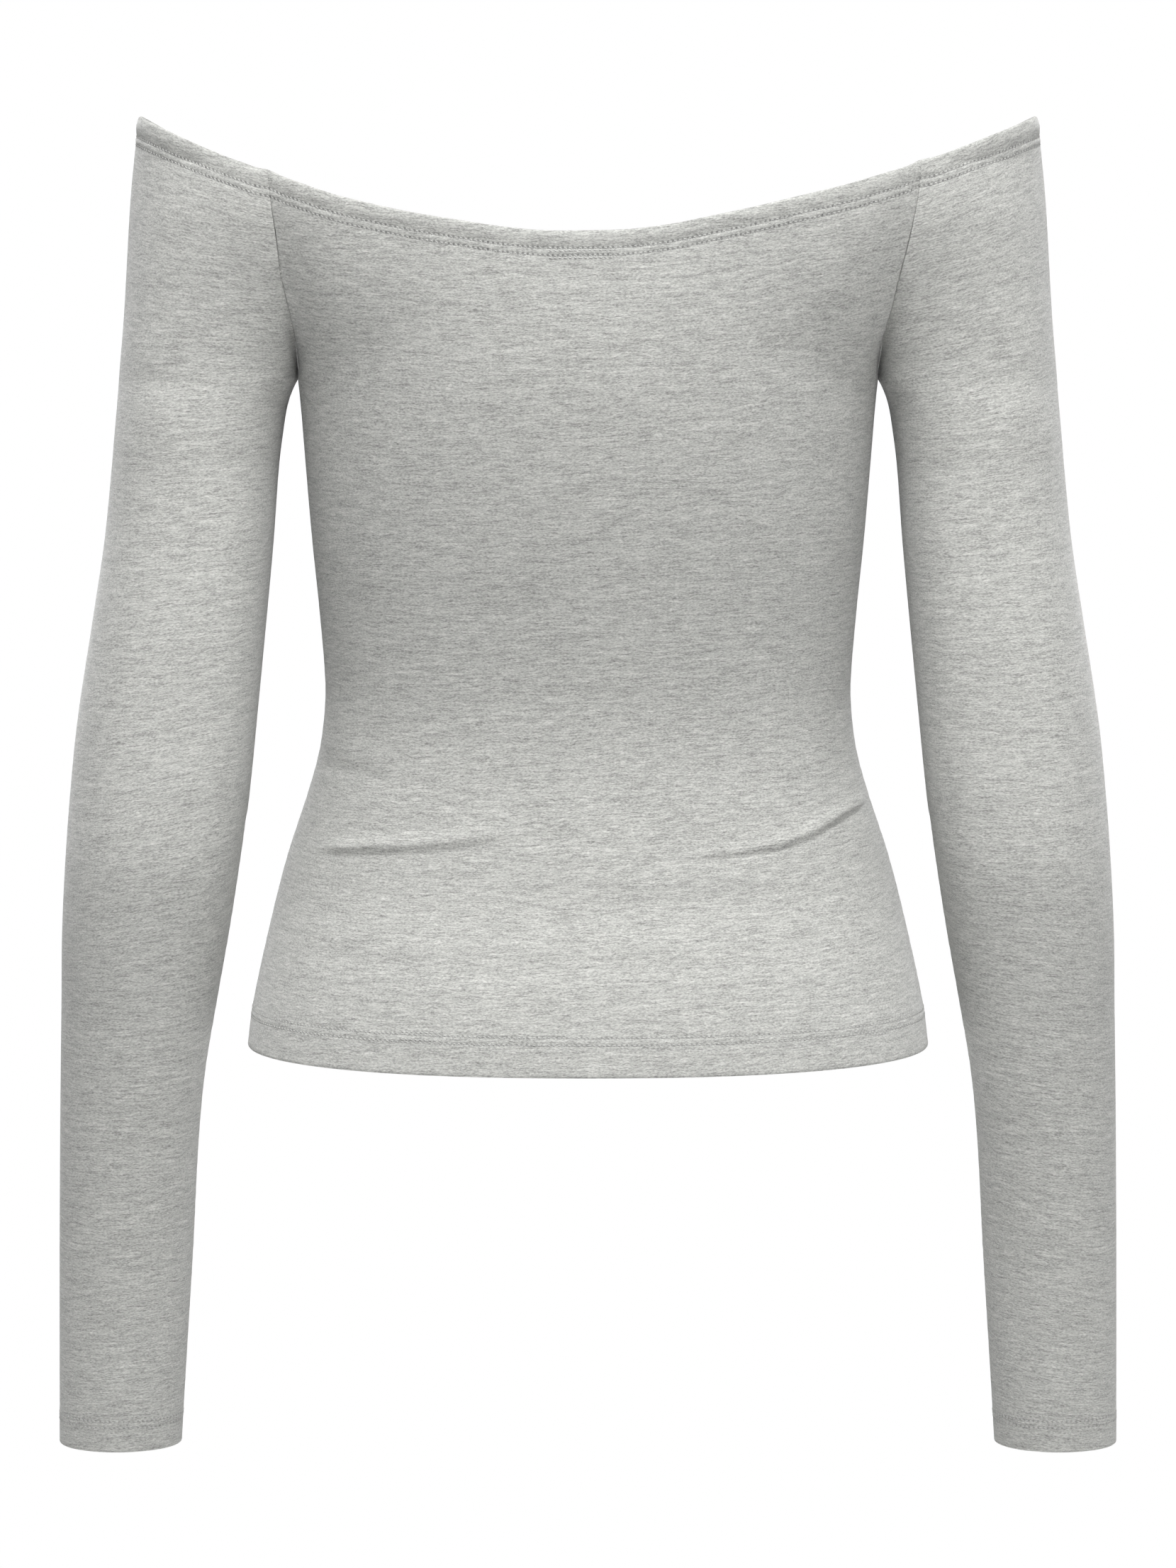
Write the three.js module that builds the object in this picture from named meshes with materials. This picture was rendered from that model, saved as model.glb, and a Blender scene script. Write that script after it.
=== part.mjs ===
import * as THREE from 'three';
import { mergeVertices } from 'three/addons/utils/BufferGeometryUtils.js';

// An off-shoulder top with long sleeves, in fine jersey, worn and hollow. Millimetres, +Z up.
// The back faces -Y, the wearer's right hand is at +X, and the origin is the middle of the neck
// opening at the height of the back's top edge.

const HEM_Z = -373;
const CUFF_Z = -566;
const ARMPIT_Z = -68;
const NECK_CORNER_X = 203;
const FRONT_NECK_DIP = 18;

const WALL = 1.4;
const TURNED_WALL = 2.4;
const SEAM_GAP = 0.3;
const BODY_HEM_DEPTH = 19;
const CUFF_HEM_DEPTH = 17.5;
const NECK_HEM_DEPTH = 11;
const HEM_STEP = 2;

const TORSO_SQUARENESS = 2.3;
const SLEEVE_COURSE_RISE = 22;

const PANEL_COLUMNS = 20;
const SLEEVE_COLUMNS = 18;
const PLAIN_UPPER_ROWS = 7;
const UPPER_ROW_SHARE = 0.11;
const NECK_RUN = 90;
const NECK_EDGE_PASSES = 8;
const DIRECTION_STEP = 0.005;

// Torso sections: half width at the side seam, and how far the back and the front stand out at the centre.
const TORSO = [
  { z: -373, half: 156.0, back: 104, front: 92 },
  { z: -354, half: 153.7, back: 103, front: 92 },
  { z: -321, half: 146.7, back: 98, front: 90 },
  { z: -288, half: 138.3, back: 89, front: 86 },
  { z: -256, half: 127.8, back: 77, front: 81 },
  { z: -239, half: 123.1, back: 72, front: 79 },
  { z: -223, half: 120.7, back: 70, front: 79 },
  { z: -207, half: 120.0, back: 70, front: 81 },
  { z: -174, half: 122.4, back: 75, front: 91 },
  { z: -142, half: 125.5, back: 82, front: 103 },
  { z: -109, half: 128.2, back: 88, front: 110 },
  { z: -68, half: 131.3, back: 92, front: 103 },
  { z: -36, back: 91, front: 94 },
  { z: 0, back: 87, front: 85 },
  { z: 50, back: 82, front: 78 },
];

// Armhole seams, from the underarm to the neck edge: their distance from the centre on each side, their
// turn round the sleeve in degrees from its inner edge, and the open sleeve's half depths there.
const ARMHOLE = [
  { z: -68, left: 131.3, right: 131.3, turn: 0, back: 54.0, front: 54.0 },
  { z: -49, left: 131.6, right: 132.6, turn: 34, back: 54.3, front: 54.0 },
  { z: -37, left: 133.2, right: 135.2, turn: 54, back: 55.3, front: 54.2 },
  { z: -23, left: 136.0, right: 137.9, turn: 75, back: 57.5, front: 55.0 },
  { z: -6, left: 138.2, right: 142.2, turn: 98, back: 63.0, front: 58.5 },
  { z: 8, left: 140.2, right: 145.3, turn: 115, back: 70.5, front: 64.0 },
  { z: 18, left: 141.1, right: 146.8, turn: 126, back: 77.5, front: 69.5 },
  { z: 30, left: 141.4, right: 147.2, turn: 136, back: 86.0, front: 76.0 },
];

// Neck edge: its height at a distance from the centre, on each side of the back.
const NECKLINE = [
  { x: 0, left: 0.0, right: 0.0 },
  { x: 18, left: 0.0, right: 0.6 },
  { x: 37, left: 1.6, right: 2.9 },
  { x: 56, left: 4.4, right: 6.7 },
  { x: 75, left: 7.4, right: 10.7 },
  { x: 93, left: 11.0, right: 15.0 },
  { x: 112, left: 15.6, right: 19.4 },
  { x: 131, left: 21.9, right: 24.8 },
  { x: 150, left: 28.2, right: 30.6 },
  { x: 170, left: 35.8, right: 37.9 },
  { x: 190, left: 44.3, right: 45.3 },
  { x: 203, left: 50.0, right: 50.0 },
];

// Sleeve sections: outer and inner edge, the middle's place front to back, and the half depth.
const SLEEVE = [
  { z: -566, outer: 247.2, inner: 190.3, middle: 20, depth: 25 },
  { z: -523, outer: 246.0, inner: 186.9, middle: 11, depth: 27 },
  { z: -471, outer: 244.6, inner: 182.9, middle: 2, depth: 30 },
  { z: -419, outer: 242.9, inner: 179.3, middle: -8, depth: 33 },
  { z: -385, outer: 241.7, inner: 175.6, middle: -14, depth: 36 },
  { z: -351, outer: 240.4, inner: 169.5, middle: -20, depth: 39 },
  { z: -318, outer: 239.2, inner: 163.3, middle: -26, depth: 42 },
  { z: -285, outer: 237.0, inner: 157.9, middle: -30, depth: 44 },
  { z: -252, outer: 234.4, inner: 153.3, middle: -28, depth: 45 },
  { z: -221, outer: 231.2, inner: 150.2, middle: -24, depth: 46 },
  { z: -173, outer: 223.9, inner: 145.7, middle: -17, depth: 48 },
  { z: -141, outer: 219.2, inner: 142.9, middle: -12, depth: 49 },
  { z: -109, outer: 216.1, inner: 140.7, middle: -6.5, depth: 51 },
  { z: -93, outer: 214.8, inner: 138.8, middle: -4, depth: 53 },
  { z: -80, outer: 213.7, inner: 136.6, middle: -2, depth: 54 },
  { z: -72, outer: 213.1, inner: 133.6, middle: -0.5, depth: 54 },
  { z: -68, outer: 212.9, inner: 131.3, middle: 0, depth: 54 },
  { z: -39, outer: 210.4, middle: 0 },
  { z: 13, outer: 207.1, middle: 0 },
  { z: 45, outer: 203.7, middle: 0 },
  { z: 50, outer: 202.8, middle: 0 },
];

// Creases across the waist: a lip that stands out over a trough. Each runs between two angles round
// the torso, in degrees from the centre back towards the right side, with bow lifting its middle.
const WAIST_CREASES = [
  { from: -72, to: -6, zFrom: -275, zTo: -261, bow: -5, lip: 3.4, trough: 2.4, fade: 14 },
  { from: 8, to: 96, zFrom: -275, zTo: -241, bow: -6, lip: 3.6, trough: 2.6, fade: 24 },
  { from: 4, to: 44, zFrom: -289, zTo: -286, bow: -2, lip: 1.4, trough: 1.0, fade: 12 },
  { from: 112, to: 166, zFrom: -268, zTo: -252, bow: -4, lip: 2.8, trough: 2.0, fade: 16 },
  { from: -164, to: -84, zFrom: -258, zTo: -244, bow: -5, lip: 3.0, trough: 2.2, fade: 16 },
];

// A crease's lip fades over these distances above and below it, and its trough lies this far under it.
const LIP_FADE_ABOVE = 9;
const LIP_FADE_BELOW = 2.8;
const TROUGH_DROP = 7;
const TROUGH_FADE = 4.4;

// Creases inside the bend of each elbow, on the sleeve's front.
const ELBOW_CREASES = [
  { turn: 0.8, z: -272, reach: 0.22, lip: 2.2, trough: 2.0, tilt: 12 },
  { turn: 0.72, z: -296, reach: 0.18, lip: 1.8, trough: 1.6, tilt: 8 },
];

// A smooth curve through the rows of a table that state the column, level beyond its ends.
function through(table, key, column) {
  const rows = table.filter((row) => column in row);
  const last = rows.length - 1;
  const slopes = rows.map((row, i) => {
    const before = rows[Math.max(i - 1, 0)];
    const after = rows[Math.min(i + 1, last)];
    return (after[column] - before[column]) / (after[key] - before[key]);
  });
  return (value) => {
    const place = THREE.MathUtils.clamp(value, rows[0][key], rows[last][key]);
    let i = 0;
    while (i < last - 1 && place > rows[i + 1][key]) i += 1;
    const span = rows[i + 1][key] - rows[i][key];
    const s = (place - rows[i][key]) / span;
    const rest = 1 - s;
    const fromFirst = rows[i][column] * rest * rest * (1 + 2 * s) + slopes[i] * span * s * rest * rest;
    const fromNext = rows[i + 1][column] * s * s * (3 - 2 * s) - slopes[i + 1] * span * s * s * rest;
    return fromFirst + fromNext;
  };
}

const torsoHalf = through(TORSO, 'z', 'half');
const sleeveOuter = through(SLEEVE, 'z', 'outer');
const sleeveInner = through(SLEEVE, 'z', 'inner');
const sleeveMiddle = through(SLEEVE, 'z', 'middle');
const sleeveDepth = through(SLEEVE, 'z', 'depth');

const seamTurn = through(ARMHOLE, 'z', 'turn');

const BACK = {
  facing: -1, dip: 0, torsoDepth: through(TORSO, 'z', 'back'), armDepth: through(ARMHOLE, 'z', 'back'),
};
const FRONT = {
  facing: 1, dip: FRONT_NECK_DIP,
  torsoDepth: through(TORSO, 'z', 'front'), armDepth: through(ARMHOLE, 'z', 'front'),
};
const LEFT = { hand: -1, seam: through(ARMHOLE, 'z', 'left'), neck: through(NECKLINE, 'x', 'left') };
const RIGHT = { hand: 1, seam: through(ARMHOLE, 'z', 'right'), neck: through(NECKLINE, 'x', 'right') };

// How far the armhole seam stands in front of the side line or behind it.
function armholeReach(face, z) {
  return z > ARMPIT_Z ? face.armDepth(z) * Math.sin(THREE.MathUtils.degToRad(seamTurn(z))) : 0;
}

// A point of the back or the front: t runs from the centre, 0, to the side or armhole seam, 1.
// Each section is a squarish ellipse, cut off where the armhole seam crosses it.
function torsoPoint(face, side, t, z) {
  const power = 2 / TORSO_SQUARENESS;
  const out = face.torsoDepth(z);
  const edge = Math.acos((armholeReach(face, z) / out) ** (1 / power));
  const half = z > ARMPIT_Z ? side.seam(z) / Math.sin(edge) ** power : torsoHalf(z);
  const angle = t * edge;
  const x = half * Math.sin(angle) ** power - (SEAM_GAP / 2) * t;
  const y = out * Math.max(Math.cos(angle), 0) ** power + SEAM_GAP / 2;
  return new THREE.Vector3(side.hand * x, face.facing * y, z);
}

// A point of a sleeve: turn runs from the back seam, 0, round the outer edge, 0.5, to the front seam, 1.
// Each section is an ellipse, whole below the underarm and cut off at the armhole seams above it.
function sleevePoint(side, turn, z) {
  const face = turn <= 0.5 ? BACK : FRONT;
  const t = turn <= 0.5 ? turn * 2 : (1 - turn) * 2;
  const open = z > ARMPIT_Z;
  const start = open ? THREE.MathUtils.degToRad(seamTurn(z)) : 0;
  const depth = open ? face.armDepth(z) : sleeveDepth(z);
  const innerX = (open ? side.seam(z) : sleeveInner(z)) + SEAM_GAP / 2;
  const halfWidth = (sleeveOuter(z) - innerX) / (1 + Math.cos(start));
  const angle = THREE.MathUtils.lerp(start, Math.PI, t);
  const x = sleeveOuter(z) - halfWidth * (1 + Math.cos(angle));
  const y = face.facing * depth * Math.sin(angle) + sleeveMiddle(z);
  return new THREE.Vector3(side.hand * x, y, z);
}

// The height of the neck edge over a panel's column. It depends on x, and x on the height, so the
// first height is mended in a few passes.
function neckEdge(face, side, pointAt) {
  let z = 0;
  for (let pass = 0; pass < NECK_EDGE_PASSES; pass += 1) {
    const x = Math.abs(pointAt(z).x);
    const across = Math.min(x / NECK_CORNER_X, 1);
    z = side.neck(x) - face.dip * (1 - across ** 2);
  }
  return z;
}

// A crease's height over the plain wall, at a distance above its line: a lip and, under it, a trough.
function lipAndTrough(above, crease) {
  const fade = above >= 0 ? LIP_FADE_ABOVE : LIP_FADE_BELOW;
  const lip = crease.lip * Math.exp(-((above / fade) ** 2));
  return lip - crease.trough * Math.exp(-(((above + TROUGH_DROP) / TROUGH_FADE) ** 2));
}

function waistCrease(angle, z) {
  return WAIST_CREASES.reduce((sum, crease) => {
    const s = (angle - crease.from) / (crease.to - crease.from);
    const level = THREE.MathUtils.lerp(crease.zFrom, crease.zTo, s) + crease.bow * 4 * s * (1 - s);
    const ends = Math.min(angle - crease.from, crease.to - angle);
    return sum + THREE.MathUtils.smoothstep(ends, 0, crease.fade) * lipAndTrough(z - level, crease);
  }, 0);
}

function elbowCrease(turn, z) {
  return ELBOW_CREASES.reduce((sum, crease) => {
    const away = turn - crease.turn - Math.round(turn - crease.turn);
    const strength = Math.exp(-((away / (crease.reach / 2)) ** 2));
    return sum + strength * lipAndTrough(z - crease.z - crease.tilt * (away / crease.reach), crease);
  }, 0);
}

// Heights of the rows from an edge up to the underarm, closer where the wall turns or creases.
function rowsBelow(bottom, hemDepth, bands) {
  const rows = [bottom, bottom + hemDepth, bottom + hemDepth + HEM_STEP];
  let from = rows[2];
  for (const band of bands) {
    for (let i = 1; i <= band.rows; i += 1) rows.push(THREE.MathUtils.lerp(from, band.to, i / band.rows));
    from = band.to;
  }
  return rows;
}

const TORSO_ROWS = rowsBelow(HEM_Z, BODY_HEM_DEPTH, [
  { to: -300, rows: 3 }, { to: -236, rows: 13 }, { to: -100, rows: 7 }, { to: ARMPIT_Z, rows: 2 },
]);
const SLEEVE_ROWS = rowsBelow(CUFF_Z, CUFF_HEM_DEPTH, [
  { to: -330, rows: 7 }, { to: -260, rows: 9 }, { to: -110, rows: 6 },
  { to: -80, rows: 2 }, { to: ARMPIT_Z, rows: 3 },
]);

// Shares of the way from the underarm's row to the neck edge, whose last band is turned in.
const UPPER_ROWS = [
  ...Array.from({ length: PLAIN_UPPER_ROWS }, (_, i) => (i + 1) * UPPER_ROW_SHARE),
  1 - (NECK_HEM_DEPTH + HEM_STEP) / NECK_RUN, 1 - NECK_HEM_DEPTH / NECK_RUN, 1,
];

// The grid of a torso panel, one line of knots for each column from the left side to the right.
function torsoGrid(face) {
  const columns = Array.from({ length: PANEL_COLUMNS + 1 }, (_, i) => (2 * i) / PANEL_COLUMNS - 1);
  return columns.map((across) => {
    const at = (z, shift = 0) => {
      const side = across + shift < 0 ? LEFT : RIGHT;
      return torsoPoint(face, side, Math.abs(across + shift), z);
    };
    const top = neckEdge(face, across < 0 ? LEFT : RIGHT, at);
    const quarter = 90 * across;
    const angle = face === BACK ? quarter : Math.sign(across || 1) * 180 - quarter;
    const above = UPPER_ROWS.map((share) => THREE.MathUtils.lerp(ARMPIT_Z, top, share));
    return [...TORSO_ROWS, ...above].map((z) => {
      const after = across < 1 ? DIRECTION_STEP : 0;
      const before = across > -1 ? DIRECTION_STEP : 0;
      return { point: at(z), along: at(z, after).sub(at(z, -before)), crease: waistCrease(angle, z) };
    });
  });
}

// The grid of a sleeve, one line of knots for each column round the arm. Its rows rise outwards.
function sleeveGrid(side) {
  const columns = Array.from({ length: SLEEVE_COLUMNS + 1 }, (_, i) => i / SLEEVE_COLUMNS);
  return columns.map((turn) => {
    const at = (z, shift = 0) => sleevePoint(side, turn + shift, z);
    const top = neckEdge(turn <= 0.5 ? BACK : FRONT, side, at);
    const rise = SLEEVE_COURSE_RISE * Math.sin(Math.PI * turn);
    const below = SLEEVE_ROWS.map((z) => z + (rise * (z - CUFF_Z)) / (ARMPIT_Z - CUFF_Z));
    const above = UPPER_ROWS.map((share) => THREE.MathUtils.lerp(ARMPIT_Z + rise, top, share));
    return [...below, ...above].map((z) => {
      const after = turn < 1 ? DIRECTION_STEP : 0;
      const before = turn > 0 ? DIRECTION_STEP : 0;
      return { point: at(z), along: at(z, after).sub(at(z, -before)), crease: elbowCrease(turn, z) };
    });
  });
}

// Outward directions of a grid, from the direction along each row and the step between rows.
function outwardDirections(lines, underarm, sign) {
  return lines.map((line) => line.map((knot, j) => {
    const upper = line[j === underarm ? j : Math.min(j + 1, line.length - 1)];
    const lower = line[Math.max(j - 1, 0)];
    const up = upper.point.clone().sub(lower.point);
    return knot.along.clone().cross(up).normalize().multiplyScalar(sign);
  }));
}

// A closed wall from a grid: outer points moved by their crease, inner points the wall's thickness behind.
// A tube's first and last lines are one line up to the underarm row.
function clothWall(lines, { turned, underarm, tube, sign }) {
  const outward = outwardDirections(lines, underarm, sign);
  const last = lines.length - 1;
  if (tube) {
    for (let j = 0; j <= underarm; j += 1) {
      const shared = outward[0][j].clone().add(outward[last][j]).normalize();
      outward[0][j] = shared;
      outward[last][j] = shared;
    }
  }
  const outer = lines.map((line, i) => line.map((knot, j) => (
    knot.point.clone().addScaledVector(outward[i][j], knot.crease))));
  const inner = outer.map((line, i) => line.map((point, j) => (
    point.clone().addScaledVector(outward[i][j], -(turned(j) ? TURNED_WALL : WALL)))));

  const positions = [];
  const quad = (a, b, c, d) => {
    const ring = sign > 0 ? [a, b, c, a, c, d] : [a, c, b, a, d, c];
    ring.forEach((point) => positions.push(point.x, point.y, point.z));
  };
  const top = lines[0].length - 1;
  for (let i = 0; i < last; i += 1) {
    for (let j = 0; j < top; j += 1) {
      quad(outer[i][j], outer[i + 1][j], outer[i + 1][j + 1], outer[i][j + 1]);
      quad(inner[i][j], inner[i][j + 1], inner[i + 1][j + 1], inner[i + 1][j]);
    }
    quad(inner[i][0], inner[i + 1][0], outer[i + 1][0], outer[i][0]);
    quad(outer[i][top], outer[i + 1][top], inner[i + 1][top], inner[i][top]);
  }
  for (let j = tube ? underarm : 0; j < top; j += 1) {
    quad(inner[0][j], outer[0][j], outer[0][j + 1], inner[0][j + 1]);
    quad(outer[last][j], inner[last][j], inner[last][j + 1], outer[last][j + 1]);
  }
  const loose = new THREE.BufferGeometry();
  loose.setAttribute('position', new THREE.Float32BufferAttribute(positions, 3));
  const geometry = mergeVertices(loose, 1e-3);
  geometry.computeVertexNormals();
  return geometry;
}

const MELANGE_GREY = '#b3b3b0';

// A named panel of cloth, double where its edges are turned in: the lowest row band and the neck's.
function panel(name, grid, rowsToUnderarm, shape) {
  const rowCount = rowsToUnderarm + UPPER_ROWS.length;
  const turned = (j) => j < 2 || j >= rowCount - 2;
  const geometry = clothWall(grid, { turned, underarm: rowsToUnderarm - 1, ...shape });
  const material = new THREE.MeshStandardMaterial({ color: MELANGE_GREY, roughness: 0.92, metalness: 0 });
  const mesh = new THREE.Mesh(geometry, material);
  mesh.name = name;
  return mesh;
}

const torsoPanel = (name, face) => (
  panel(name, torsoGrid(face), TORSO_ROWS.length, { tube: false, sign: -face.facing }));
const sleevePanel = (name, side) => (
  panel(name, sleeveGrid(side), SLEEVE_ROWS.length, { tube: true, sign: side.hand }));

const offShoulderTop = new THREE.Group();
offShoulderTop.add(
  torsoPanel('back', BACK),
  torsoPanel('front', FRONT),
  sleevePanel('sleeve_left', LEFT),
  sleevePanel('sleeve_right', RIGHT),
);

export default offShoulderTop;
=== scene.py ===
"""An off-shoulder top with long sleeves in fine melange jersey, worn and hollow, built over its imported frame.

Tables and sizes are in millimetres in the model's own frame: +Z is up, the back faces -Y, the wearer's right
hand is at +X, and the origin is the middle of the neck opening at the height of the back's top edge. Meshes
are in metres.
"""
from __future__ import annotations

import logging
import math
from dataclasses import dataclass
from enum import Enum
from typing import Any

import bpy
import numpy as np
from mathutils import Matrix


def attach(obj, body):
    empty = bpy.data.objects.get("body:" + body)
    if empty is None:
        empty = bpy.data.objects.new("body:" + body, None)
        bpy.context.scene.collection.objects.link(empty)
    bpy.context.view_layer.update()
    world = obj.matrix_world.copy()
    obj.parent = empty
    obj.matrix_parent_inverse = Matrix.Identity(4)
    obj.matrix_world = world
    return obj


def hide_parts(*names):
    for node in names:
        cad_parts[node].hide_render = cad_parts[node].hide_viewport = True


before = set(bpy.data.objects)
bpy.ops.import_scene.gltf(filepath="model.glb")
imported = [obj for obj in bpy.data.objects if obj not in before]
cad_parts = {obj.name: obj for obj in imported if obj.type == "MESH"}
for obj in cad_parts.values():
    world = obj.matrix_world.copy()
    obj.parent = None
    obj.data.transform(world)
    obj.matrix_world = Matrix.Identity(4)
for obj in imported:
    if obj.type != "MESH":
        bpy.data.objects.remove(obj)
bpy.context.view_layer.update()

Array = np.ndarray
Colour = tuple[float, float, float]
Place = tuple[float, float, float]
MeshPart = tuple[Array, list[Array], Array]
log = logging.getLogger("off_shoulder_top")

MM = 0.001
NONE = np.nan
HEM_Z = -373.0
CUFF_Z = -566.0
ARMPIT_Z = -68.0
NECK_CORNER_X = 203.0
FRONT_NECK_DIP = 18.0
SEAM_GAP = 0.06
TORSO_SQUARENESS = 2.3
SLEEVE_COURSE_RISE = 22.0

CLOTH = 0.95
FOLD_RADIUS = 1.0
BODY_HEM_DEPTH = 19.0
CUFF_HEM_DEPTH = 17.5
NECK_HEM_DEPTH = 12.8
NEEDLE_GAUGE = 3.2
STITCH_PITCH = 2.2
STITCH_SLANT = math.radians(14.0)
NEEDLE_ROWS = np.arange(-1.6, NEEDLE_GAUGE + 1.0, 0.8)
FOOT_BAND_ROWS = (2.5, 5.0, 7.5)
NECK_BAND_ROWS = (2.2, 3.6, 5.0)
PAST_HEM = 1.2
SHORT_WAY = 0.03
NECK_SPREAD = 0.15
NECK_PASSES = 8
ROW_WIDTH = 0.75
ROW_PULL = 0.32
HEM_STEP = 0.08
EDGE_ROLL = 0.6
PUCKER = 0.1
SEAM_HUMP = 0.9
SEAM_HUMP_FADE = 4.5
SEAM_EASE = 14.0
LOOPER_RADIUS = 0.2
LOOPER_GAP = 0.15

# Torso sections: height, half width at the side seam, and how far the back and the front stand out.
TORSO = np.array([
    [-373, 156.0, 104, 92],
    [-354, 153.7, 103, 92],
    [-321, 146.7, 98, 90],
    [-288, 138.3, 89, 86],
    [-256, 127.8, 77, 81],
    [-239, 123.1, 72, 79],
    [-223, 120.7, 70, 79],
    [-207, 120.0, 70, 81],
    [-174, 122.4, 75, 91],
    [-142, 125.5, 82, 103],
    [-109, 128.2, 88, 110],
    [-68, 131.3, 92, 103],
    [-36, NONE, 91, 94],
    [0, NONE, 87, 85],
    [50, NONE, 82, 78],
])

# Armhole seams: height, left and right distance from the centre, turn round the sleeve in degrees from its
# inner edge, and the open sleeve's half depth at the back and the front.
ARMHOLE = np.array([
    [-68, 131.3, 131.3, 0, 54.0, 54.0],
    [-49, 131.6, 132.6, 34, 54.3, 54.0],
    [-37, 133.2, 135.2, 54, 55.3, 54.2],
    [-23, 136.0, 137.9, 75, 57.5, 55.0],
    [-6, 138.2, 142.2, 98, 63.0, 58.5],
    [8, 140.2, 145.3, 115, 70.5, 64.0],
    [18, 141.1, 146.8, 126, 77.5, 69.5],
    [30, 141.4, 147.2, 136, 86.0, 76.0],
])

# Neck edge: distance from the centre, and its height over the left and the right half of the back.
NECKLINE = np.array([
    [0, 0.0, 0.0],
    [18, 0.0, 0.6],
    [37, 1.6, 2.9],
    [56, 4.4, 6.7],
    [75, 7.4, 10.7],
    [93, 11.0, 15.0],
    [112, 15.6, 19.4],
    [131, 21.9, 24.8],
    [150, 28.2, 30.6],
    [170, 35.8, 37.9],
    [190, 44.3, 45.3],
    [203, 50.0, 50.0],
])

# Sleeve sections: height, outer edge, inner edge, the middle's place front to back, and the half depth.
SLEEVE = np.array([
    [-566, 247.2, 190.3, 20, 25],
    [-523, 246.0, 186.9, 11, 27],
    [-471, 244.6, 182.9, 2, 30],
    [-419, 242.9, 179.3, -8, 33],
    [-385, 241.7, 175.6, -14, 36],
    [-351, 240.4, 169.5, -20, 39],
    [-318, 239.2, 163.3, -26, 42],
    [-285, 237.0, 157.9, -30, 44],
    [-252, 234.4, 153.3, -28, 45],
    [-221, 231.2, 150.2, -24, 46],
    [-173, 223.9, 145.7, -17, 48],
    [-141, 219.2, 142.9, -12, 49],
    [-109, 216.1, 140.7, -6.5, 51],
    [-93, 214.8, 138.8, -4, 53],
    [-80, 213.7, 136.6, -2, 54],
    [-72, 213.1, 133.6, -0.5, 54],
    [-68, 212.9, 131.3, 0, 54],
    [-39, 210.4, NONE, 0, NONE],
    [13, 207.1, NONE, 0, NONE],
    [45, 203.7, NONE, 0, NONE],
    [50, 202.8, NONE, 0, NONE],
])

# The knit's courses on the sleeves: height, and their slant in degrees, up towards +X, on the left and the
# right.
COURSES = np.array([
    [-560, 3.0, -5.0],
    [-440, 3.0, -8.0],
    [-347, 4.0, -8.0],
    [-318, 9.0, -7.0],
    [-288, 11.0, -2.0],
    [-259, 10.0, 1.0],
    [-200, 6.5, 3.0],
    [-141, 5.0, 6.0],
    [-83, 3.5, 9.0],
    [-53, -1.0, 12.0],
    [-24, -7.0, 16.0],
    [5, -12.0, 19.0],
    [40, -16.0, 22.0],
])
TORSO_LEAN = 0.04

# The worn cloth's swell down the middle of the torso: height, and how far it stands out of the plain form.
SWELL = np.array([
    [-373, 5.1],
    [-335, 0.2],
    [-300, -5.2],
    [-280, -4.3],
    [-255, -1.3],
    [-230, 0.5],
    [-190, 1.8],
    [-150, 2.2],
    [-100, 1.7],
    [-50, 0.8],
    [0, 0.0],
    [50, 0.0],
])


class Hand(Enum):
    """The wearer's hand that a side is on, as the sign of its X."""

    LEFT = -1
    RIGHT = 1


class Face(Enum):
    """Which way a torso panel looks, as the sign of its Y."""

    BACK = -1
    FRONT = 1


class Curve:
    """A smooth curve through the rows of a table that state its column, level beyond its ends."""

    def __init__(self, table: Array, column: int) -> None:
        """Picks the rows and takes each row's slope from its two neighbours.

        Args:
            table: rows that start with the place along the curve.
            column: the column that holds the curve's values.
        """
        rows = table[~np.isnan(table[:, column])]
        last = len(rows) - 1
        before = np.maximum(np.arange(last + 1) - 1, 0)
        after = np.minimum(np.arange(last + 1) + 1, last)
        self.keys = rows[:, 0]
        self.values = rows[:, column]
        self.slopes = (self.values[after] - self.values[before]) / (self.keys[after] - self.keys[before])

    def at(self, place: Array) -> Array:
        """The curve's values: between two rows, the cubic that has both rows' values and slopes.

        Args:
            place: places along the curve, as an array of any shape.

        Returns:
            The values, in the same shape.
        """
        place = np.clip(place, self.keys[0], self.keys[-1])
        i = np.clip(np.searchsorted(self.keys, place) - 1, 0, len(self.keys) - 2)
        span = self.keys[i + 1] - self.keys[i]
        s = (place - self.keys[i]) / span
        rest = 1 - s
        first = self.values[i] * rest ** 2 * (1 + 2 * s) + self.slopes[i] * span * s * rest ** 2
        following = self.values[i + 1] * s ** 2 * (3 - 2 * s) - self.slopes[i + 1] * span * s ** 2 * rest
        return first + following


TORSO_HALF = Curve(TORSO, 1)
SEAM = {Hand.LEFT: Curve(ARMHOLE, 1), Hand.RIGHT: Curve(ARMHOLE, 2)}
SEAM_TURN = Curve(ARMHOLE, 3)
NECK = {Hand.LEFT: Curve(NECKLINE, 1), Hand.RIGHT: Curve(NECKLINE, 2)}
TORSO_DEPTH = {Face.BACK: Curve(TORSO, 2), Face.FRONT: Curve(TORSO, 3)}
ARM_DEPTH = {Face.BACK: Curve(ARMHOLE, 4), Face.FRONT: Curve(ARMHOLE, 5)}
NECK_DIP = {Face.BACK: 0.0, Face.FRONT: FRONT_NECK_DIP}
SLEEVE_OUTER = Curve(SLEEVE, 1)
SLEEVE_INNER = Curve(SLEEVE, 2)
SLEEVE_MIDDLE = Curve(SLEEVE, 3)
SLEEVE_DEPTH = Curve(SLEEVE, 4)
TORSO_SWELL = Curve(SWELL, 1)
COURSE_SLANT = {Hand.LEFT: Curve(COURSES, 1), Hand.RIGHT: Curve(COURSES, 2)}


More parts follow.
